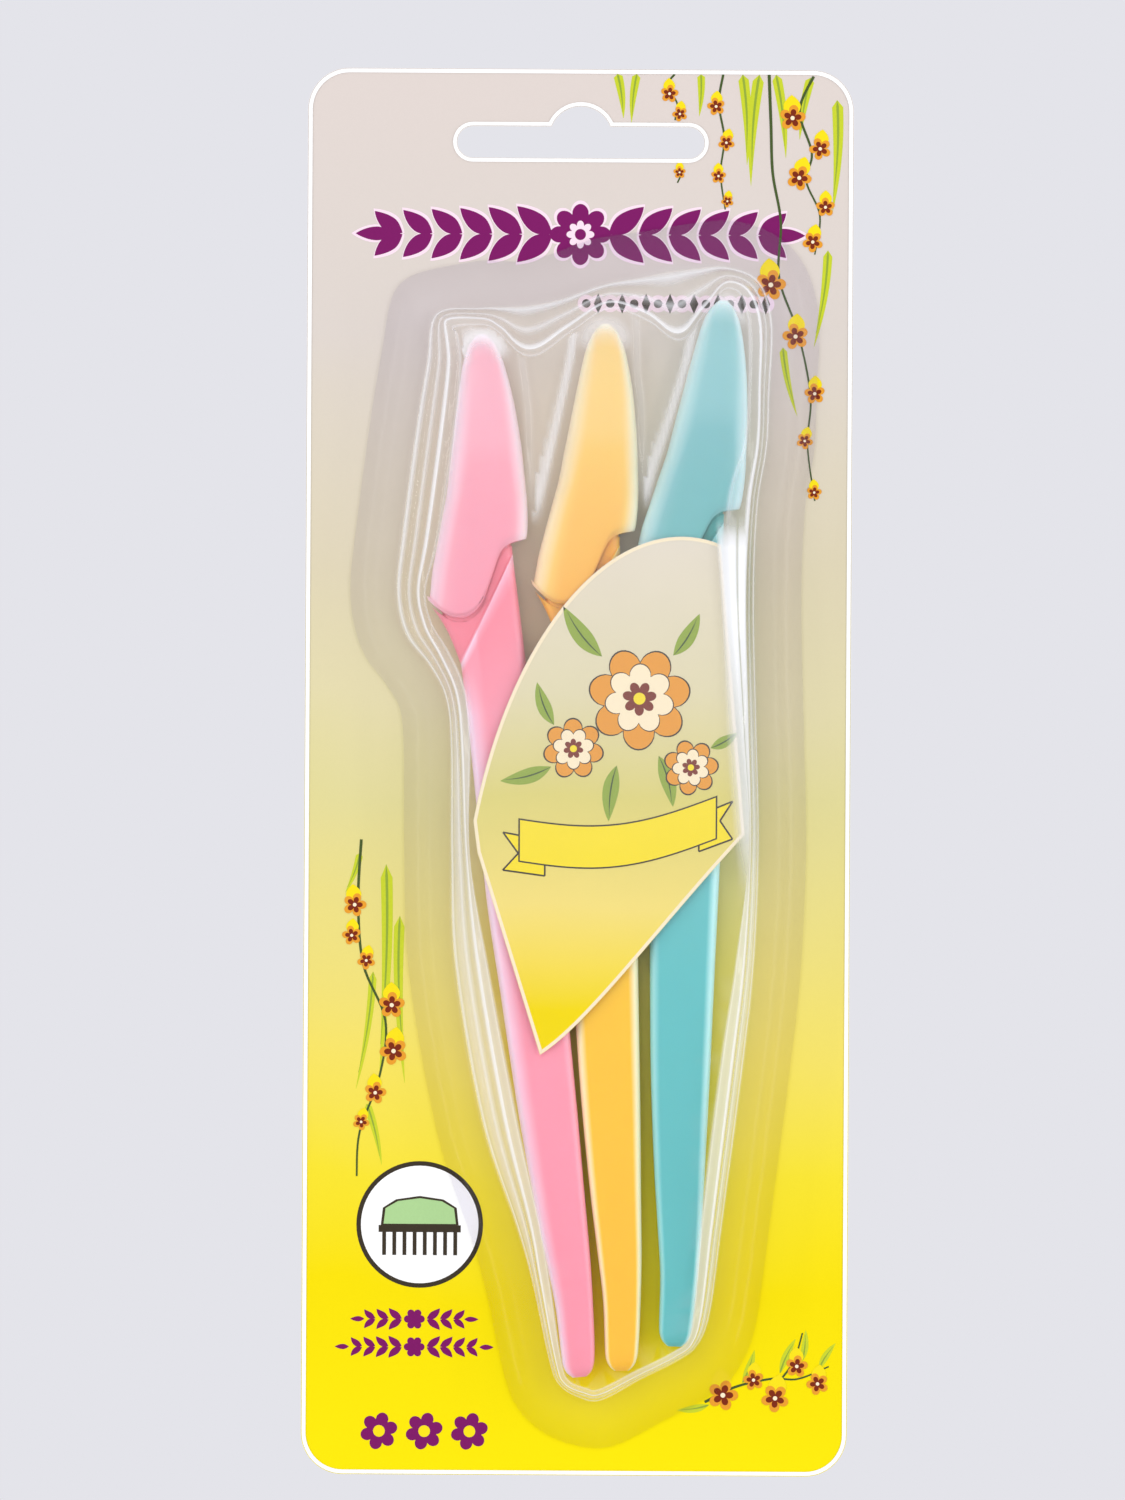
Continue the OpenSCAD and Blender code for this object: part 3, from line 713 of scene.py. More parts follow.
def petals(at, r, count, turn=0.0, depth=0.45, grow=0.0):
    """Outline of an open blossom."""
    steps = count * PETAL_STEPS
    out = []
    for i in range(steps):
        a = 360 * i / steps
        lobe = abs(math.cos(math.radians((a * count) / 2)))
        out.append(polar(at, r * (1 - depth + depth * lobe ** 0.75) + grow, a + turn))
    return out


def disc(at, r, count=40):
    """Outline of a round dot."""
    return [polar(at, r, 360 * i / count) for i in range(count)]


def lozenge(at, w, h):
    """Outline of a bead with four points."""
    return [(at[0] - w / 2, at[1]), (at[0], at[1] - h / 2), (at[0] + w / 2, at[1]),
            (at[0], at[1] + h / 2)]


def garland(centre, half, step, size, grow=0.0):
    """A level garland of paired leaves, mirrored about its middle."""
    shapes = []
    for side in (-1, 1):
        x = step * 0.95
        while x < half:
            shrink = 1 - 0.25 * x / half
            for up in (-1, 1):
                heading = up * 38 if side > 0 else 180 - up * 38
                base = (centre[0] + side * (x - grow * 0.5), centre[1] + up * 0.1)
                shapes.append([leaf(base, size * shrink + grow, heading,
                                    size * 0.44 * shrink + grow, -up * side * 0.35)])
            x += step
        shapes.append([leaf((centre[0] + side * half, centre[1]), size * 0.8 + grow,
                            0 if side > 0 else 180, size * 0.3 + grow)])
    return shapes


def bar(a, b, w):
    """Outline of a straight bar of even width."""
    return stalk([a, b], w, w)


# Blossoms on each sprig: across, height, radius, turn. Leaves: across, height, length, heading,
# width, bend.
CORNER_BLOSSOMS = [(12.7, 6.4, 1.3, 10), (14.2, 3.5, 1.1, 40), (14.2, -4.9, 0.9, 20),
                   (19.4, 4.6, 1.3, 30), (20.9, -0.6, 1.2, 55), (19.8, -5.4, 1.1, 15),
                   (21.1, -9.0, 0.9, 45), (30.4, 3.0, 1.9, 10), (34.4, -1.4, 1.6, 40),
                   (31.4, -5.6, 1.8, 65), (35.2, -9.8, 1.4, 20), (33.4, -14.8, 1.5, 50),
                   (27.4, -21.0, 2.2, 5), (31.0, -28.4, 1.9, 30), (33.8, -36.6, 1.5, 25),
                   (32.4, -43.4, 1.2, 60), (33.8, -50.8, 1.1, 10)]
CORNER_LEAVES = [(5.2, 9.2, 6.4, 278, 1.3, 0.4), (8.0, 9.2, 7.0, 264, 1.2, -0.4),
                 (17.2, 9.2, 6.0, 268, 1.1, 0.3), (23.2, 9.2, 13.0, 273, 1.5, 0.7),
                 (25.6, 9.2, 16.0, 266, 1.6, -0.8), (28.0, 9.2, 12.0, 277, 1.4, 0.6),
                 (33.0, 8.8, 9.0, 260, 1.3, -0.5), (36.8, 5.6, 16.0, 268, 1.6, 0.8),
                 (35.6, -16.0, 14.0, 262, 1.3, 0.8), (29.2, -30.0, 10.0, 282, 1.1, -0.6)]
SIDE_BLOSSOMS = [(-31.9, -110.4, 1.7, 0), (-32.3, -114.8, 1.4, 30), (-30.2, -118.4, 1.3, 50),
                 (-26.5, -124.8, 1.9, 15), (-26.2, -131.4, 2.0, 40), (-28.8, -137.4, 1.6, 5),
                 (-30.8, -141.6, 1.2, 60)]
SIDE_LEAVES = [(-27.4, -104.6, 30.0, 268.5, 1.7, 1.0), (-25.4, -112.0, 24.0, 272, 1.5, -1.0),
               (-29.2, -120.0, 17.0, 262, 1.1, 0.8), (-31.2, -103.0, 6.0, 250, 1.0, 0.5),
               (-30.0, -139.0, 9.0, 284, 1.1, 0.5)]
FOOT_BLOSSOMS = [(21.4, -180.6, 2.2, 0), (25.8, -178.4, 1.5, 30), (28.9, -181.0, 2.0, 50),
                 (32.0, -176.4, 1.6, 10), (35.0, -178.9, 1.6, 40)]
FOOT_LEAVES = [(19.4, -182.0, 4.6, 190, 1.1, 0.4), (24.2, -178.8, 5.0, 70, 1.1, -0.4),
               (29.6, -177.4, 5.4, 66, 1.1, 0.4), (32.8, -175.6, 4.4, 84, 1.0, -0.3),
               (35.2, -176.8, 4.4, 58, 1.0, 0.4)]
INSERT_BLOSSOMS = [(8.8, -80.6, 7.2, 12), (-0.6, -87.8, 4.2, 40), (16.2, -90.4, 3.8, 5)]
INSERT_LEAVES = [(3.4, -74.6, 9, 128, 2.6, 0.9), (13.6, -74.4, 7, 58, 2.2, -0.7),
                 (-3.4, -84.4, 6.5, 112, 2.0, 0.7), (-3.8, -90.4, 7.5, 196, 2.2, 0.8),
                 (19.0, -87.6, 4.4, 30, 1.6, -0.4), (5.6, -90.2, 8, 262, 2.3, -0.7),
                 (11.6, -88.8, 7.5, 286, 2.2, 0.7)]


# A printed leaf longer than this is a strap
STRAP = 5.9


def blooms(spots, count, share=1.0, turn=0, depth=0.45, grow=0.0):
    """A blossom on each spot: across, height, radius and turn."""
    return [[petals((x, z), r * share, count, own + turn, depth, grow)] for x, z, r, own in spots]


def print_sprig(name, blossoms, leaves, stems):
    """Leaves, stems and blossoms of one printed sprig on the card."""
    lime = [[leaf((x, z), length, heading, w, bend, STRAP_BELLY if length > STRAP else BELLY)]
            for x, z, length, heading, w, bend in leaves]
    veins = [[leaf((x, z), length * 0.86, heading, w * 0.22, bend * 0.9, STRAP_BELLY)]
             for x, z, length, heading, w, bend in leaves]
    buds = [[leaf((x, z), r * 1.75, 96 - turn / 3, r * 1.3, 0, 0.5)] for x, z, r, turn in blossoms]
    print_on(name + "_leaves", lime, "lime", 1)
    print_on(name + "_veins", veins, "leaf", 2)
    print_on(name + "_stems", [[s] for s in stems], "stem", 3)
    print_on(name + "_buds", buds, "banner", 4)
    print_motifs(name + "_petals", [petals((0, 0), 1, 5)], blossoms, "orange", 5)
    print_motifs(name + "_throats", [petals((0, 0), 1, 5, 0, 0.6)], blossoms, "maroon", 6, 0.68)
    level = [(x, z, r, 0) for x, z, r, _ in blossoms]
    print_motifs(name + "_hearts", [disc((0, 0), 1, 14)], level, "cream", 7, 0.16)


def print_card():
    """All that is printed on the card's front, and a painted highlight along its edges and round
    the slot.
    """
    # Painted highlight: a white band just in from the card's edge and round the hang slot
    print_on("card_white_rim", [[card_outline(0.12), card_outline(0.68)],
                                [slot_outline(0.62), slot_outline(0.1)]], "white", 8)
    title = (0.0, -13.9)
    print_on("title_garland_halo", garland(title, 27.0, 4.3, 6.6, 0.6)
             + [[petals(title, 4.4, 8, 0, 0.3, 0.5)]], "halo", 1)
    print_on("title_garland", garland(title, 27.0, 4.3, 6.6)
             + [[petals(title, 4.4, 8, 0, 0.3)]], "plum", 2)
    print_on("title_heart", [[petals(title, 2.0, 8, 0, 0.35)]], "halo", 3)
    print_on("title_eye", [[disc(title, 0.8, 20)]], "plum", 4)
    beads = [(0.9 + 1.72 * i, -23.8, 1.0, 0) for i in range(16)]
    print_motifs("bead_halo", [disc((0, 0), 1.25, 20)], beads, "halo", 1)
    print_motifs("bead_row", [disc((0, 0), 0.62, 20), lozenge((0, 0), 1.25, 2.9)], beads,
                 "dark", 2)
    print_sprig("corner_sprig", CORNER_BLOSSOMS, CORNER_LEAVES, [
        stalk([(13.4, 9.2), (12.4, 7.5), (13.8, 5.0), (13.5, 2.6)], 0.3, 0.2),
        stalk([(13.9, -3.4), (14.6, -4.6), (13.9, -6.4)], 0.3, 0.2),
        stalk([(20.4, 9.2), (19.8, 5.0), (20.6, 0.0), (20.1, -5.0), (20.8, -10.2)], 0.35, 0.2),
        stalk([(33.4, 9.0), (31.4, 4.0), (33.2, -2.0), (32.4, -6.0), (34.4, -11.0),
               (33.7, -16.6)], 0.4, 0.2),
        stalk([(27.0, 9.2), (27.3, 2.0), (27.6, -5.0), (28.8, -12.0), (28.6, -20.0),
               (31.4, -28.0), (33.2, -37.0), (32.8, -44.0), (33.9, -52.0)], 0.45, 0.2)])
    print_sprig("side_sprig", SIDE_BLOSSOMS, SIDE_LEAVES, [
        stalk([(-31.0, -101.0), (-31.4, -110.0), (-30.6, -119.0), (-27.4, -127.0),
               (-28.2, -135.0), (-31.0, -143.0), (-31.4, -149.4)], 0.4, 0.25)])
    print_sprig("foot_sprig", FOOT_BLOSSOMS, FOOT_LEAVES, [
        stalk([(18.8, -181.6), (23.2, -179.4), (28.4, -178.2), (32.2, -178.2), (36.6, -176.4)],
              0.4, 0.2),
        stalk([(29.8, -178.2), (31.6, -175.6), (32.8, -171.6)], 0.3, 0.2)])
    inset = (-22.3, -156.3)
    print_on("inset_disc", [[disc(inset, 8.8, 72)]], "white", 1)
    print_on("inset_ring", [[disc(inset, 9.1, 72), disc(inset, 8.45, 72)]], "dark", 2)
    left, right = inset[0] - 5.6, inset[0] + 5.6
    body = [(left, inset[1] - 0.2), (right, inset[1] - 0.2), (right - 0.3, inset[1] + 2.4),
            (right - 2.2, inset[1] + 3.6), (inset[0], inset[1] + 4.1), (left + 2.2, inset[1] + 3.6),
            (left + 0.3, inset[1] + 2.4)]
    print_on("inset_comb_body", [[body]], "mint", 2)
    teeth = [[bar((left + 0.5 + 1.46 * i, inset[1] - 0.6), (left + 0.5 + 1.46 * i, inset[1] - 4.4),
                  0.55)] for i in range(8)]
    print_on("inset_comb_teeth", teeth + [[bar((left - 0.3, inset[1] - 0.6),
                                                (right + 0.3, inset[1] - 0.6), 1.0)],
                                          [body, [(x * 0.93 + inset[0] * 0.07, z * 0.86
                                                   + (inset[1] + 1.8) * 0.14) for x, z in body]]],
             "dark", 3)
    for row, half in ((-169.9, 7.2), (-173.9, 9.4)):
        print_on("small_garland_%d" % -row, garland((-23.0, row), half, 1.9, 2.5)
                 + [[petals((-23.0, row), 1.5, 6, 0, 0.3)]], "plum", 1)
    three = [(-28.0 + 6.5 * i, -186.0, 1.0, 0) for i in range(3)]
    print_motifs("three_blossoms", [petals((0, 0), 2.7, 6, 15, 0.35)], three, "plum", 1)
    print_motifs("three_hearts", [disc((0, 0), 0.85, 16)], three, "banner", 2)


# Ends of the ribbon across the insert, how much its right end is higher, and its steps
RIBBON_ENDS, RIBBON_RISE, RIBBON_STEPS = (-8.4, 20.0), 3.4, 24


def ribbon(low, high, sag, first=0.0, last=1.0):
    """A band that sags in its middle, between heights low and high at its ends, in shares of its
    length."""
    def at(t, z):
        return (mix(*RIBBON_ENDS, t), z + RIBBON_RISE * t - sag * math.sin(math.pi * t))
    shares = [mix(first, last, i / RIBBON_STEPS) for i in range(RIBBON_STEPS + 1)]
    return [at(t, high) for t in shares] + [at(t, low) for t in reversed(shares)]


def print_insert():
    """The rim, the bouquet and the ribbon printed on the insert."""
    def on(name, shapes, key, layer):
        print_on(name, shapes, key, layer, "film_shell")

    on("insert_pale_rim", [[insert_outline(0.05), insert_outline(0.5)]], "cream", 1)
    on("bouquet_leaves", [[leaf((x, z), length, heading, w, bend)]
                          for x, z, length, heading, w, bend in INSERT_LEAVES], "leaf", 1)
    on("bouquet_veins", [[leaf((x, z), length * 0.9, heading, 0.22, bend)]
                         for x, z, length, heading, w, bend in INSERT_LEAVES], "stem", 2)
    on("bouquet_lines", blooms(INSERT_BLOSSOMS, 7, depth=0.3, grow=0.22), "dark", 3)
    on("bouquet_petals", blooms(INSERT_BLOSSOMS, 7, depth=0.3), "orange", 4)
    on("bouquet_inner_lines", blooms(INSERT_BLOSSOMS, 7, 0.68, 25, 0.3, 0.16), "dark", 5)
    on("bouquet_inner_petals", blooms(INSERT_BLOSSOMS, 7, 0.68, 25, 0.3), "cream", 6)
    on("bouquet_throats", blooms(INSERT_BLOSSOMS, 7, 0.34, depth=0.4), "maroon", 7)
    on("bouquet_hearts", [[disc((x, z), r * 0.12, 16)] for x, z, r, _ in INSERT_BLOSSOMS],
       "banner", 8)
    low, high = -103.8, -98.0
    tails = [[(-4.6, -100.9), (-4.6, -106.0), (-10.6, -105.2), (-8.4, -102.8), (-10.6, -99.8)],
             [(17.4, -97.2), (17.4, -102.4), (22.2, -100.6), (20.4, -98.0), (22.2, -95.2)]]
    on("ribbon_tails", [[t] for t in tails], "banner", 2)
    on("ribbon_tail_lines", [[stalk([a, b], 0.24, 0.24)] for t in tails
                             for a, b in zip(t, t[1:] + t[:1])], "dark", 3)
    on("ribbon_lines", [[ribbon(low - 0.22, high + 0.22, 2.4)]], "dark", 4)
    on("ribbon_band", [[ribbon(low, high, 2.4, 0.008, 0.992)]], "banner", 5)


# ------------------------------------------------------------------ razors
GUARD_LEN = math.dist(spot(GUARD_LOW), spot(GUARD_HIGH))
GUARD_LEAN = math.atan2(spot(GUARD_HIGH)[0] - spot(GUARD_LOW)[0],
                        spot(GUARD_HIGH)[1] - spot(GUARD_LOW)[1])
# The plug of the neck inside the cap's mouth: how far it rises, and its section
PLUG_RISE, PLUG = 0.7, (0.733, 0.793, -0.62, 0.105, 0.58)
# Points of a handle's and a cap's section, and rows of each part, which are finer than the tables
HANDLE_RING, CAP_RING = 64, 72
HANDLE_ROWS, NECK_ROWS, HEAD_ROWS, CAP_ROWS, CAP_INNER_ROWS = 90, 12, 24, 46, 26
# Painted highlight on the crest of the neck's fold; painted shade, as rim value, of the plug and
# the folds; and the rim value of the head
FOLD_PAINTED_HIGHLIGHT, PLUG_PAINTED_SHADE, HEAD_DEEP, FOLD_PAINTED_SHADE, FOLD_LEFT_PAINTED_SHADE = 1.1, -0.7, -0.3, -0.6, -0.2
# Painted highlight on each handle's left and right bevels, how far the left one's painted light
# spreads, and how deep the colour gets towards the foot
HANDLE_PAINTED_LIGHT = {"pink": (1.0, 0.2, 0.8, 0.12), "yellow": (0.9, 1.0, 0.0, 0.24),
               "teal": (0.5, 1.0, 0.0, 0.12)}
# How far a handle's bevels cut in, across and in thickness, and the power of a cap's round section
HANDLE_BEVEL, CAP_POWER = (0.2, 0.42), 3
# The fold's share of the length, how far the neck's rows keep apart under the mouth, and how many
# of the head's first rows start inside the plug
FOLD_SHARE, NECK_STEP, TUCKED_ROWS = 0.05, 0.012, 6
# Edges that turn by more degrees than this stay sharp
HANDLE_SHARP, CAP_SHARP = 38, 50
# Rounded lip of a cap's mouth: how thin its wall is there, and how far up
CAP_LIP = [(0.5, 0.0), (0.22, 0.12), (0.06, 0.34)]


def head_edge(height):
    """Where the comb guard's seat ends on a head at this height."""
    low = spot(GUARD_LOW)
    return (low[0] + (height - low[1]) * math.tan(GUARD_LEAN)
            + (GUARD_W + SEAT_GAP) / math.cos(GUARD_LEAN))


def mouth_height(across):
    """Height of the cap's mouth this far across."""
    return RAZOR_LEN * monotone([m[0] for m in MOUTH], [m[1] for m in MOUTH],
                                max(MOUTH[0][0], min(MOUTH[-1][0], across / RAZOR_W)))


def unit_ring(power, count):
    """A rounded section, one unit to each side."""
    out = []
    for i in range(count):
        a = 2 * math.pi * i / count
        c, s = math.cos(a), math.sin(a)
        y = max(0.0, 1 - abs(c) ** power) ** (1 / power)
        out.append((c, math.copysign(y, s) if abs(s) > 1e-9 else 0.0))
    return out


def bevelled_ring(count, cut_x, cut_y):
    """A section with a flat face, bevels along both edges and small flat sides, one unit to each
    side. It lists the points with how much each lies on a bevel."""
    corner = 0.35
    knots = [(1, 0), (1, (1 - cut_y) * (1 - corner)), (1 - cut_x * corner * 0.4, 1 - cut_y * 0.8),
             (1 - cut_x * 0.7, 1 - cut_y * 0.14), (1 - cut_x * (1 + corner), 1), (0, 1)]
    lengths = [0.0]
    for a, b in zip(knots, knots[1:]):
        lengths.append(lengths[-1] + math.dist(a, b))
    quarter = []
    for i in range(count // 4):
        d = lengths[-1] * i / (count // 4)
        x, y = (monotone(lengths, [k[side] for k in knots], d) for side in (0, 1))
        quarter.append((x, y, max(0.0, min(1.0, (x - (1 - cut_x * 1.25)) / (cut_x * 0.5)))))
    back = quarter[:0:-1]
    return (quarter + [(0, 1, 0)] + [(-x, y, r) for x, y, r in back]
            + [(-1, 0, quarter[0][2])] + [(-x, -y, r) for x, y, r in quarter[1:]]
            + [(0, -1, 0)] + [(x, -y, r) for x, y, r in back])


def section(row, ring, gap):
    """Points of one section, from heights, edges, thickness and turn in millimetres."""
    out = []
    for p in ring:
        way = (p[0] + 1) / 2
        across = mix(row[2], row[3], way)
        level = mix(row[0], row[1], way)
        out.append((across, p[1] * row[4] / 2, mix(level, mouth_height(across) - gap, row[5])))
    return out


def sized(row, skin=0.0):
    """A row of a table in millimetres, in from the surface by skin."""
    return (row[0] * RAZOR_LEN, row[1] * RAZOR_LEN, row[2] * RAZOR_W + skin,
            row[3] * RAZOR_W - skin, row[4] * RAZOR_T - 2 * skin, row[5])


def head_sized(row):
    """A row of the head's table in millimetres."""
    return (row[0] * RAZOR_LEN, row[1] * RAZOR_LEN, head_edge(row[0] * RAZOR_LEN)
            + row[2] * RAZOR_W, row[3] * RAZOR_W, row[4] * HEAD_T, row[5])


def skin_mesh(name, rings, painted_light_rows, matrix):
    """A closed skin over rings of equal count, with a rim value for each point, which paints
    highlight and shade into its colour.
    """
    count = len(rings[0])
    verts = [matrix @ Vector(p) for ring in rings for p in ring]
    faces = [list(range(count))]
    for k in range(len(rings) - 1):
        for i in range(count):
            a, b = k * count + i, k * count + (i + 1) % count
            faces.append((a, a + count, b + count, b))
    faces.append([(len(rings) * count - 1 - i) for i in range(count)])
    obj = mesh_object(name, verts, faces)
    point_values(obj, "rim", [v for rim in painted_light_rows for v in rim])
    outward(obj.data)
    return obj


def razor_matrix(place):
    """From a razor's own frame, with its foot at the origin, to its place on the card."""
    foot_x, head_x = place[0] * RAZOR_W, place[1] * RAZOR_W
    lean = math.asin((head_x - foot_x) / RAZOR_LEN)
    foot_z = -(BLISTER_DROP + place[2] * RAZOR_LEN + RAZOR_LEN * math.cos(lean))
    return (Matrix.Translation((foot_x, -(CARD_T + LAY_GAP + RAZOR_T / 2), foot_z))
            @ Matrix.Rotation(lean, 4, "Y"))


def blade_cutter(matrix):
    """A block where the blade goes, with SLOT_PLAY all round."""
    outer = BLADE_T + 2 * GUARD_PLAY + 2 * GUARD_SHEET
    inset = outer / 2 - GUARD_PLAY
    low = spot(GUARD_LOW)
    length = GUARD_LEN * BLADE_LEN_SHARE
    seat = (matrix @ Matrix.Translation((low[0], 0, low[1]))
            @ Matrix.Rotation(GUARD_LEAN, 4, "Y"))
    x0, x1 = inset - SLOT_PLAY, inset + BLADE_W + SLOT_PLAY
    z0, z1 = (GUARD_LEN - length) / 2 - SLOT_PLAY, (GUARD_LEN + length) / 2 + SLOT_PLAY
    y = BLADE_T / 2 + SLOT_PLAY
    verts = [seat @ Vector(v) for z in (z0, z1)
             for v in ((x0, -y, z), (x1, -y, z), (x1, y, z), (x0, y, z))]
    faces = [(0, 3, 2, 1), (4, 5, 6, 7), (0, 1, 5, 4), (1, 2, 6, 5), (2, 3, 7, 6), (3, 0, 4, 7)]
    return mesh_object("blade_slot_cutter", verts, faces, False)


def make_handle(colour):
    """A handle's moulding: grip, folded neck, plug and head, with the slot for the blade."""
    matrix = razor_matrix(PLACES[colour])
    ring = bevelled_ring(HANDLE_RING, *HANDLE_BEVEL)
    left, right, spread, low = HANDLE_PAINTED_LIGHT[colour]
    # Painted highlight on the bevels; in the fold, painted shade with a painted highlight on its
    # crest
    rim = [r * right if x > 0 else max(r, spread * ease(0.35, 0.95, -x)) * left
           for x, _, r in ring]
    rings, painted_light_rows = [], []
    for row in finer(HANDLE, HANDLE_ROWS):
        fold = max(0.0, (row[0] - HANDLE[-1][0] + FOLD_SHARE) / FOLD_SHARE)
        deep = low * (1 - ease(0.0, 0.45, row[0]))
        fold_highlight = FOLD_PAINTED_HIGHLIGHT * max(0.0, 6 * fold - 5)
        rings.append(section(sized(row), ring, MOUTH_GAP))
        painted_light_rows.append([mix(r - deep * (1 - r), FOLD_PAINTED_SHADE if p[0] > -0.4 else FOLD_LEFT_PAINTED_SHADE, fold)
                     + fold_highlight for r, p in zip(rim, ring)])
    for k, row in enumerate(finer(NECK, NECK_ROWS)):
        under = MOUTH_GAP + NECK_STEP * (NECK_ROWS - 1 - k)
        rings.append([(x, y, min(z, mouth_height(x) - under))
                      for x, y, z in section(sized(row), ring, MOUTH_GAP)])
    for gap, narrow in ((MOUTH_GAP, 0.0), (-PLUG_RISE + 0.15, 0.0), (-PLUG_RISE, 0.01)):
        plug = (*PLUG[:2], PLUG[2] + narrow, PLUG[3] - narrow, PLUG[4] - narrow, 1)
        rings.append(section(sized(plug), ring, gap))
    painted_light_rows += [[PLUG_PAINTED_SHADE] * len(ring)] * (NECK_ROWS + 3)
    for k, row in enumerate(finer(HEAD, HEAD_ROWS)):
        gap = -PLUG_RISE if k < TUCKED_ROWS else MOUTH_GAP
        rings.append(section(head_sized(row), ring, gap))
    painted_light_rows += [[HEAD_DEEP] * len(ring)] * HEAD_ROWS
    obj = skin_mesh(colour + "_handle_moulding", rings, painted_light_rows, matrix)
    cutter = blade_cutter(matrix)
    cut = obj.modifiers.new("blade_slot", "BOOLEAN")
    cut.object = cutter
    cut.solver = "EXACT"
    bake_modifiers(obj)
    bpy.data.objects.remove(cutter)
    obj.data.set_sharp_from_angle(angle=math.radians(HANDLE_SHARP))
    give(obj, colour)
    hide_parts(colour + "_handle")
    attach(obj, colour + "_razor")


def make_cap(colour):
    """A cap's hollow moulding: down inside, round the lip of its mouth, and up outside."""
    ring = unit_ring(CAP_POWER, CAP_RING)
    # Painted highlights along both sides of the cap
    side = [1.1 * ease(0.58, 1.05, p[0]) + 0.9 * ease(0.4, 1.1, -p[0]) for p in ring]
    rows = finer(CAP, CAP_ROWS)
    inner = [section(sized(row, CAP_WALL), ring, 0)
             for row in reversed(finer(CAP[:-2], CAP_INNER_ROWS))]
    lip = [section(sized(rows[0], skin), ring, -rise) for skin, rise in CAP_LIP]
    outer = lip + [section(sized(row), ring, -0.6 if k == 0 else 0)
                   for k, row in enumerate(rows)]
    painted_light_rows = [[0.0] * len(ring) for _ in inner]
    # Rim values: the sides' painted highlights, a painted highlight round the tip, paler further
    # up, and darker towards the mouth except on the sides
    for k, _ in enumerate(outer):
        way = max(0, k - len(lip)) / (len(rows) - 1)
        tip = max(0.0, (way - 0.8) / 0.2)
        low = max(0.0, (0.5 - way) / 0.5)
        painted_light_rows.append([min(1.0, max(s, 0.9 * tip) + 0.25 * way - 0.8 * low * (1 - min(1, s)))
                     for s in side])
    obj = skin_mesh(colour + "_cap_moulding", inner + outer, painted_light_rows, razor_matrix(PLACES[colour]))
    obj.data.set_sharp_from_angle(angle=math.radians(CAP_SHARP))
    give(obj, colour + "_cap")
    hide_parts(colour + "_cap")
    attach(obj, colour + "_cover")


# ------------------------------------------------------------------ blister
# Rows of the wall and the crown's rim: way in over the wall, way in over the rim, way up, and how
# milky the film is painted there, as painted highlight on the wall's bends
WALL = [(-0.22, 0, 0.0, 0.02), (-0.08, 0, 0.012, 0.12), (0.02, 0, 0.07, 0.62),
        (0.1, 0, 0.2, 0.4), (0.2, 0, 0.31, 0.08), (0.3, 0, 0.365, 0.05),
        (0.42, 0, 0.385, 0.08), (0.52, 0, 0.405, 0.45), (0.6, 0, 0.47, 0.25),
        (0.7, 0, 0.62, 0.06), (0.79, 0, 0.75, 0.05), (0.88, 0, 0.83, 0.1),
        (0.96, 0, 0.88, 0.6), (1, 0.08, 0.91, 0.7), (1, 0.2, 0.926, 0.15),
        (1, 0.4, 0.945, 0.1), (1, 0.5, 0.955, 0.09), (1, 0.6, 0.965, 0.1),
        (1, 0.74, 0.979, 0.12), (1, 0.88, 0.99, 0.25), (1, 1.0, 0.997, 0.3),
        (1, 1.12, 0.999, 0.1), (1, 1.25, 1.0, 0.05)]
# How milky the crown is painted, as painted light over its shade; its valleys, as painted
# highlight; the flange; and the wall's low part, as painted reflection
CROWN_PAINTED_LIGHT, VALLEY_PAINTED_HIGHLIGHT, FLANGE_HAZE, LOW_WALL_PAINTED_REFLECTION = 0.065, 0.42, 0.03, 0.34
# How milky the film is painted round each cap's tip as painted reflection, the radius it was drawn
# to there, and how far the milky white fades to each side
TIP_PAINTED_REFLECTION, TIP_R, TIP_FADE = {"pink": 0.6, "yellow": 0.38, "teal": 0.35}, 2.9, 2.0
# Painted reflection: how milky the rows of the rim are painted beside the insert, by their way in,
# and the crown over its right margin
STRIP_PAINTED_REFLECTION = {0.08: 0.9, 0.2: 0.9, 0.4: 0.85, 0.5: 0.3, 0.6: 0.85, 0.74: 0.9, 0.88: 0.9, 1.0: 0.82,
         1.12: 0.78, 1.25: 0.75}
MARGIN_PAINTED_REFLECTION = 0.75
# The margin's outer edge: how far across it is at which height, and how much farther out for each
# millimetre down. Its width at the top and at the foot.
MARGIN_AT, MARGIN_WIDE = (20.4, -58.5, 0.096), (1.0, 2.8)
# Heights on the card between which each haze and painted light starts and is full
FADES = {"crown": (-125.0, -90.0), "flange": (-130.0, -80.0), "wall_top": (-62.0, -96.0),
         "wall_foot": (-188.0, -170.0), "strip_top": (-54.0, -59.0),
         "strip_foot": (-114.0, -98.0), "strip_low": (-90.0, -66.0), "margin": (-60.0, -96.0)}
# The crown's net beside that margin: its top, how many rows, their distance, and points in a row
MARGIN_TOP, MARGIN_ROWS, MARGIN_STEP, MARGIN_SHARES = -56.0, 100, 0.5, (0.0, 0.25, 0.5, 0.75, 1.0)
# The rest of the net: how close its points are above each height, and how far they stay off the
# margin
NET_STEPS, NET_CLEAR = [(-62.0, 0.5), (-116.0, 1.0), (-math.inf, 4.0)], 0.3
# Steps between two rows of OUTLINE, over how many of them a ring's direction is taken on the
# wall and on the flange, and how far the film's inner face stays off the card
FILM_STEPS, WALL_REACH, FLANGE_REACH, FILM_LIFT = 8, 4, 12, 0.04
# Materials of the blister's faces
FILM, FLANGE, INNER = 0, 1, 2


def foot_line():
    """The foot of the wall on the card, with how far the wall and the rim run in from there."""
    rows = [(*card_spot(row), row[2] * WALL_STEP, row[3] * WALL_STEP)
            for row in reversed(OUTLINE)]
    n = len(rows)
    return [catmull(rows[i - 1], rows[i], rows[(i + 1) % n], rows[(i + 2) % n], k / FILM_STEPS)
            for i in range(n) for k in range(FILM_STEPS)]


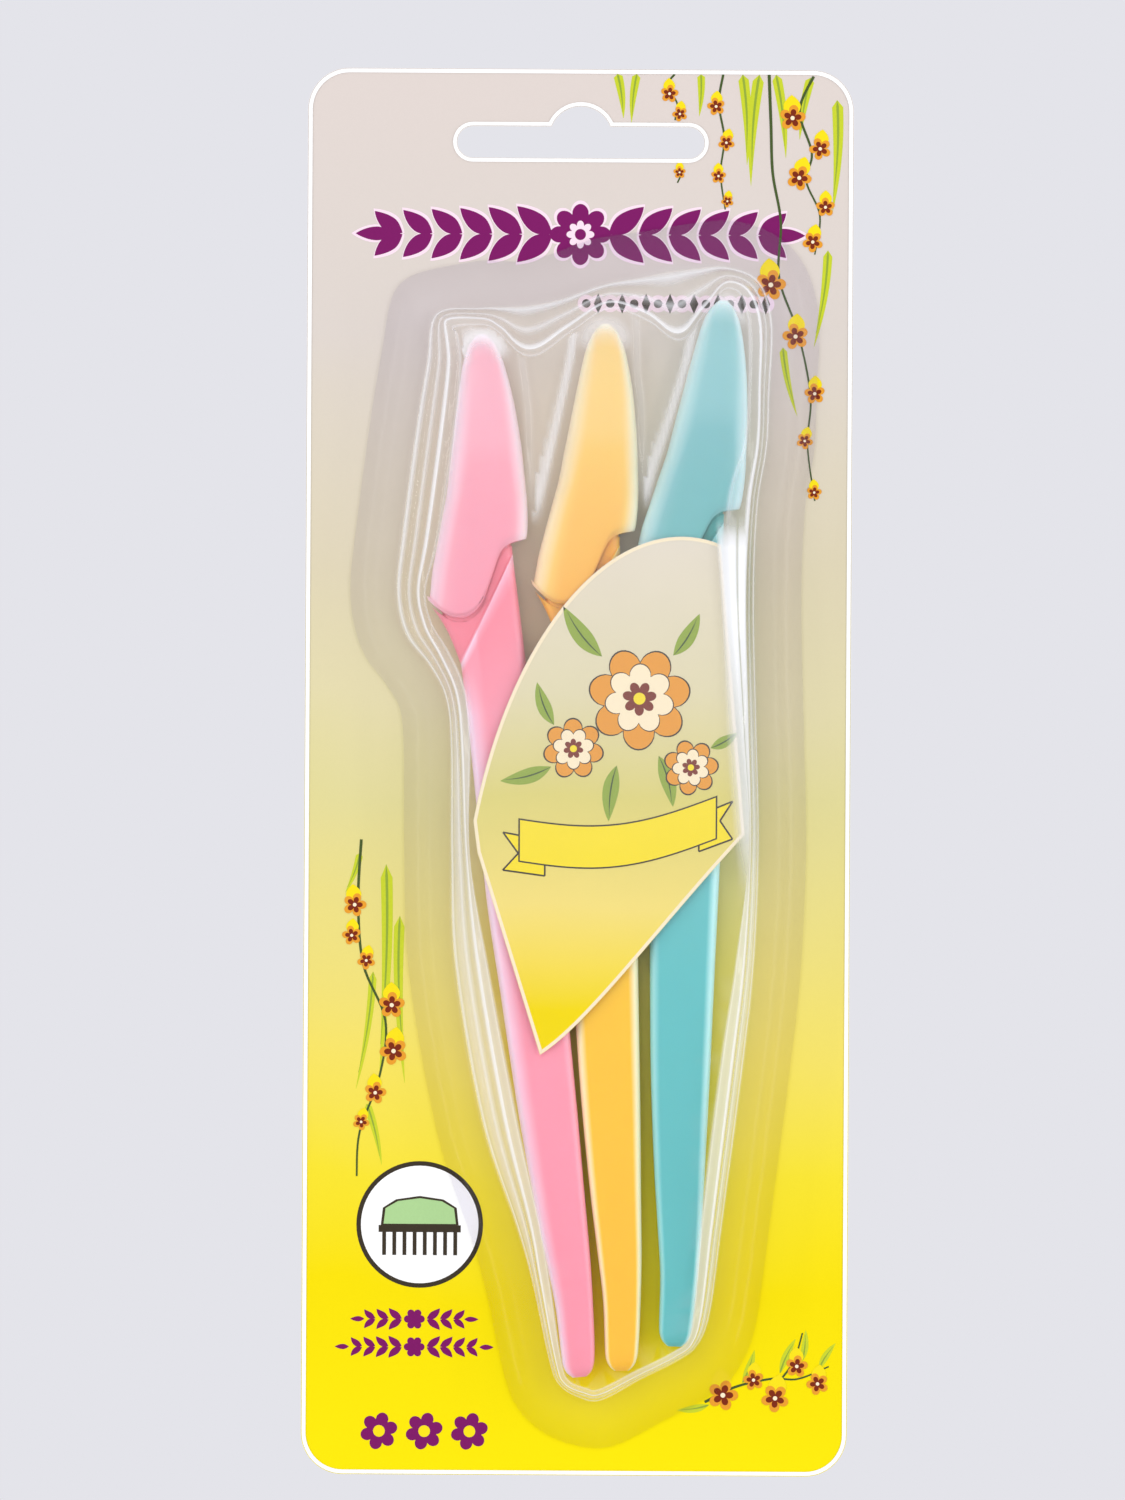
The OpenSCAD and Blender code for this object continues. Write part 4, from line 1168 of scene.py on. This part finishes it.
def film_ring(line, share, rim, inset, reach=WALL_REACH):
    """Across and height of a ring, in from the foot by shares of the wall and of the rim."""
    n = len(line)
    out = []
    for i, p in enumerate(line):
        a, b = Vector(line[(i - reach) % n][:2]), Vector(line[(i + reach) % n][:2])
        along = (b - a).normalized()
        off = p[2] * share + p[3] * rim + inset
        out.append((p[0] - along.y * off, p[1] + along.x * off))
    return out


def valley_depth(x, z):
    """How deep a valley of the crown is here, as a share of its full depth."""
    fall = (-z - BLISTER_DROP) / RAZOR_LEN
    deep = 0.0
    for rows in VALLEYS:
        if fall < rows[-1][0]:
            left, right, depth = (monotone([r[0] for r in rows], [r[k] for r in rows],
                                           max(fall, rows[0][0])) for k in (1, 2, 3))
            across = x / RAZOR_W
            way = min(across - left, right - across) / VALLEY_SIDE + 0.5
            way = max(0.0, min(1.0, way))
            deep = max(deep, depth * way * way * (3 - 2 * way))
    return deep


def film_front(x, z, up):
    """Outer face of the film at a share of its height."""
    height = min(up * DEPTH, DEPTH - CROWN_FALL * valley_depth(x, z))
    return FRONT - max(height, FILM_T)


def painted_valley_highlight(x, z):
    """Painted highlight along a valley: milky on its right side, a little on its left."""
    deep = valley_depth(x, z)
    rising = valley_depth(x + 0.3, z) < deep
    return VALLEY_PAINTED_HIGHLIGHT * 4 * deep * (1 - deep) * (1.0 if rising else 0.25)


def painted_tip_reflection(x, z):
    """Painted reflection: milky white round the tip of each cap."""
    most = 0.0
    for colour, strength in TIP_PAINTED_REFLECTION.items():
        matrix = razor_matrix(PLACES[colour])
        centre = matrix @ Vector((0, 0, RAZOR_LEN - TIP_R))
        tip = matrix @ Vector((0, 0, RAZOR_LEN))
        way = Vector((x - centre.x, z - centre.z))
        ahead = way.dot(Vector((tip.x - centre.x, tip.z - centre.z))) / TIP_R
        off = abs(way.length - TIP_R + 0.2) / TIP_FADE
        most = max(most, strength * max(0.0, 1 - off) * ease(-2.5, 1.0, ahead))
    return most


def reflection_strip_share(x, z):
    """Share of the painted reflection, a white strip on the rim beside the insert."""
    if x < 0:
        return 0.0
    return (ease(*FADES["strip_top"], z) * ease(*FADES["strip_foot"], z)
            * mix(0.72, 1.0, ease(*FADES["strip_low"], z)))


def margin(z):
    """Where the crown's painted reflection, a milky strip over the insert's right side, starts and
    is full.
    """
    full = MARGIN_AT[0] + MARGIN_AT[2] * (MARGIN_AT[1] - z)
    return full - mix(*MARGIN_WIDE, ease(*FADES["margin"], z)), full


def painted_margin_reflection(x, z):
    """Painted reflection: the crown is painted milky over the right margin of the insert."""
    return MARGIN_PAINTED_REFLECTION * reflection_strip_share(x, z) * ease(*margin(z), x)


def wall_painted_light(row, x, z):
    """How milky a row of the wall is painted here, as painted highlight and reflection: more where
    the wall runs in towards its foot.
    """
    low = ease(*FADES["wall_top"], z) * ease(*FADES["wall_foot"], z)
    band = LOW_WALL_PAINTED_REFLECTION if 0.1 < row[0] and row[1] < 1.0 else 0.0
    strip = STRIP_PAINTED_REFLECTION.get(row[1], 0.0) * reflection_strip_share(x, z)
    return max(row[3] + low * band * (1 - row[3]), strip)


def painted_crown_light(x, z):
    """How milky the crown is painted here: painted light over its shade, painted highlight and
    painted reflection.
    """
    base = CROWN_PAINTED_LIGHT * ease(*FADES["crown"], z)
    return max(base + painted_valley_highlight(x, z), painted_tip_reflection(x, z), painted_margin_reflection(x, z))


def crown_net(loop):
    """Points and triangles that fill a closed ring, close together where the caps lie."""
    near = kdtree.KDTree(len(loop))
    for i, p in enumerate(loop):
        near.insert((p[0], p[1], 0), i)
    near.balance()
    xs, zs = [p[0] for p in loop], [p[1] for p in loop]
    points = [Vector(p) for p in loop]
    for k in range(MARGIN_ROWS):
        z = MARGIN_TOP - MARGIN_STEP * k
        edge = max(p[0] for p in loop if abs(p[1] - z) < 4)
        for share in MARGIN_SHARES:
            x = mix(*margin(z), share)
            if near.find((x, z, 0))[2] > NET_CLEAR and x < edge:
                points.append(Vector((x, z)))
    foot = MARGIN_TOP - MARGIN_STEP * MARGIN_ROWS
    z = max(zs)
    while z > min(zs):
        step = next(close for height, close in NET_STEPS if z > height)
        x = min(xs) + 0.45 * step
        left, right = margin(z)
        while x < max(xs):
            on_margin = (foot < z < MARGIN_TOP + 0.5
                         and left - NET_CLEAR < x < right + NET_CLEAR)
            if not on_margin and near.find((x, z, 0))[2] > 0.5 * min(step, 1.4):
                points.append(Vector((x, z)))
            x += step
        z -= step
    net = geometry.delaunay_2d_cdt(points, [], [list(range(len(loop)))], 1, 1e-5)
    return net[0], net[2]


def make_blister():
    """The formed film: sealed flange, stepped wall and crown, each with its inner face."""
    line = foot_line()
    outer = [film_ring(line, row[0], row[1], 0) for row in WALL]
    inner = [film_ring(line, row[0], row[1], FILM_T) for row in WALL]
    edge = film_ring(line, 0, 0, -FLANGE_W, FLANGE_REACH)
    verts, haze_and_painted_light, faces, kinds = [], [], [], []

    def lay(points, up, haze_and_painted_white, back):
        for x, z in points:
            y = film_front(x, z, up)
            verts.append((x, min(y + FILM_T, FRONT - FILM_LIFT) if back else y, z))
            haze_and_painted_light.append(haze_and_painted_white(x, z))

    def clear(x, z):
        return 0.0

    for row, ring in zip(reversed(WALL), reversed(inner)):
        lay(ring, row[2], clear, True)
    lay(edge, 0, clear, True)
    lay(edge, 0, lambda x, z: FLANGE_HAZE * ease(*FADES["flange"], z), False)
    for row, ring in zip(WALL, outer):
        lay(ring, row[2], lambda x, z: wall_painted_light(row, x, z), False)
    count = len(line)
    for k in range(2 * len(WALL) + 1):
        kind = INNER if k <= len(WALL) else FLANGE if k < len(WALL) + 3 else FILM
        for i in range(count):
            a, b = k * count + i, k * count + (i + 1) % count
            faces.append((a, b, b + count, a + count))
            kinds.append(kind)
    for loop, back in ((inner[-1], True), (outer[-1], False)):
        points, tris = crown_net(loop)
        base = len(verts)
        lay(points, 1.0, clear if back else painted_crown_light, back)
        faces += [[base + i for i in tri] for tri in tris]
        kinds += [INNER if back else FILM] * len(tris)
    obj = mesh_object("blister_film", verts, faces)
    point_values(obj, "haze_and_painted_light", haze_and_painted_light)
    give(obj, "film", "flange", "film_back")
    obj.data.polygons.foreach_set("material_index", kinds)
    outward(obj.data, 1e-6)
    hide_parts("blister")
    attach(obj, "film_shell")


# ------------------------------------------------------------------ insert
def make_insert():
    """The curved paper triangle on the razors, under the film."""
    sheet = flat("insert_paper", [insert_outline(INSERT_TRIM)], INSERT_FRONT, INSERT_T,
                 INSERT_TRIM)
    two_sided(sheet, "insert")
    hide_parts("label_insert")
    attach(sheet, "film_shell")


# ------------------------------------------------------------------ build
make_card()
print_card()
make_blister()
make_insert()
print_insert()
for colour in PLACES:
    make_handle(colour)
    make_cap(colour)
    give(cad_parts[colour + "_blade"], "steel")
    give(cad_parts[colour + "_comb_guard"], "guard")


# ------------------------------------------------------------------ stage, light and camera
# Height of the frame in millimetres, where the camera aims, and how far off it is in metres
FRAME_HIGH, CENTRE, DISTANCE = 215.7, Vector((-2.16, 0, -88.0)) * MM, 1.1
# Softboxes and strips: place, size and watts
LAMPS = {"key_softbox": ((-0.42, -1.1, 0.4), (0.5, 0.5), 1.5),
         "fill_softbox": ((0.55, -1.0, 0.2), (0.3, 0.5), 0.5),
         "front_softbox": ((-0.05, -1.3, 0.0), (0.4, 0.4), 0.95),
         "left_strip": ((-0.62, -0.75, -0.09), (0.05, 0.6), 0.5),
         "right_strip": ((0.62, -0.75, -0.09), (0.08, 0.6), 0.8),
         "left_low_strip": ((-0.42, -0.2, -0.09), (0.03, 0.5), 0.32),
         "right_low_strip": ((0.42, -0.2, -0.09), (0.03, 0.5), 0.34)}


def make_lamp(name, where, size, power):
    """A lamp that faces the pack. The one in front isn't mirrored in the film."""
    lamp = bpy.data.lights.new(name, "AREA")
    lamp.shape = "RECTANGLE"
    lamp.size, lamp.size_y = size
    lamp.energy = power
    obj = link(name, lamp)
    obj.location = where
    obj.rotation_euler = (CENTRE - Vector(where)).to_track_quat("-Z", "Y").to_euler()
    obj.visible_glossy = name != "front_softbox"


def make_floor():
    """A round sheet of pale studio paper."""
    bm = bmesh.new()
    bmesh.ops.create_circle(bm, cap_ends=True, segments=96, radius=0.24)
    mesh = bpy.data.meshes.new("studio_floor")
    bm.to_mesh(mesh)
    bm.free()
    floor = link("studio_floor", mesh)
    floor.location = (0, 0, -0.30)
    mat, tree, at = new_finish("pale_floor_paper")
    grain = add(tree, "ShaderNodeTexNoise", {
        "Vector": at, "Scale": 1 / 3, "Detail": 3, "Roughness": GRAIN})
    floor.data.materials.append(finished(mat, add(tree, "ShaderNodeBsdfPrincipled", {
        "Base Color": tinted(tree, srgb("#E4E4EA"), grain, 0.01), "Roughness": 0.8})))


def make_air():
    """Even pale light from all round."""
    world = bpy.data.worlds.new("studio_air")
    bpy.context.scene.world = world
    world.use_nodes = True
    air = world.node_tree.nodes["Background"].inputs
    air[0].default_value = srgb("#E4E4EA")
    air[1].default_value = 1.0


def make_camera():
    """A long lens straight in front of the card, rolled a little as in the photo."""
    data = bpy.data.cameras.new("photo_camera")
    data.sensor_fit = "AUTO"
    data.sensor_width = 36
    data.lens = 36 * DISTANCE / (FRAME_HIGH * MM)
    data.clip_start = 0.05
    camera = link("photo_camera", data)
    camera.location = CENTRE + Vector((0, -DISTANCE, 0))
    camera.rotation_euler = (math.radians(90), math.radians(-0.32), 0)
    bpy.context.scene.camera = camera
    bpy.context.scene.view_settings.view_transform = "Standard"


make_floor()
make_air()
for lamp_name, rest in LAMPS.items():
    make_lamp(lamp_name, *rest)
make_camera()
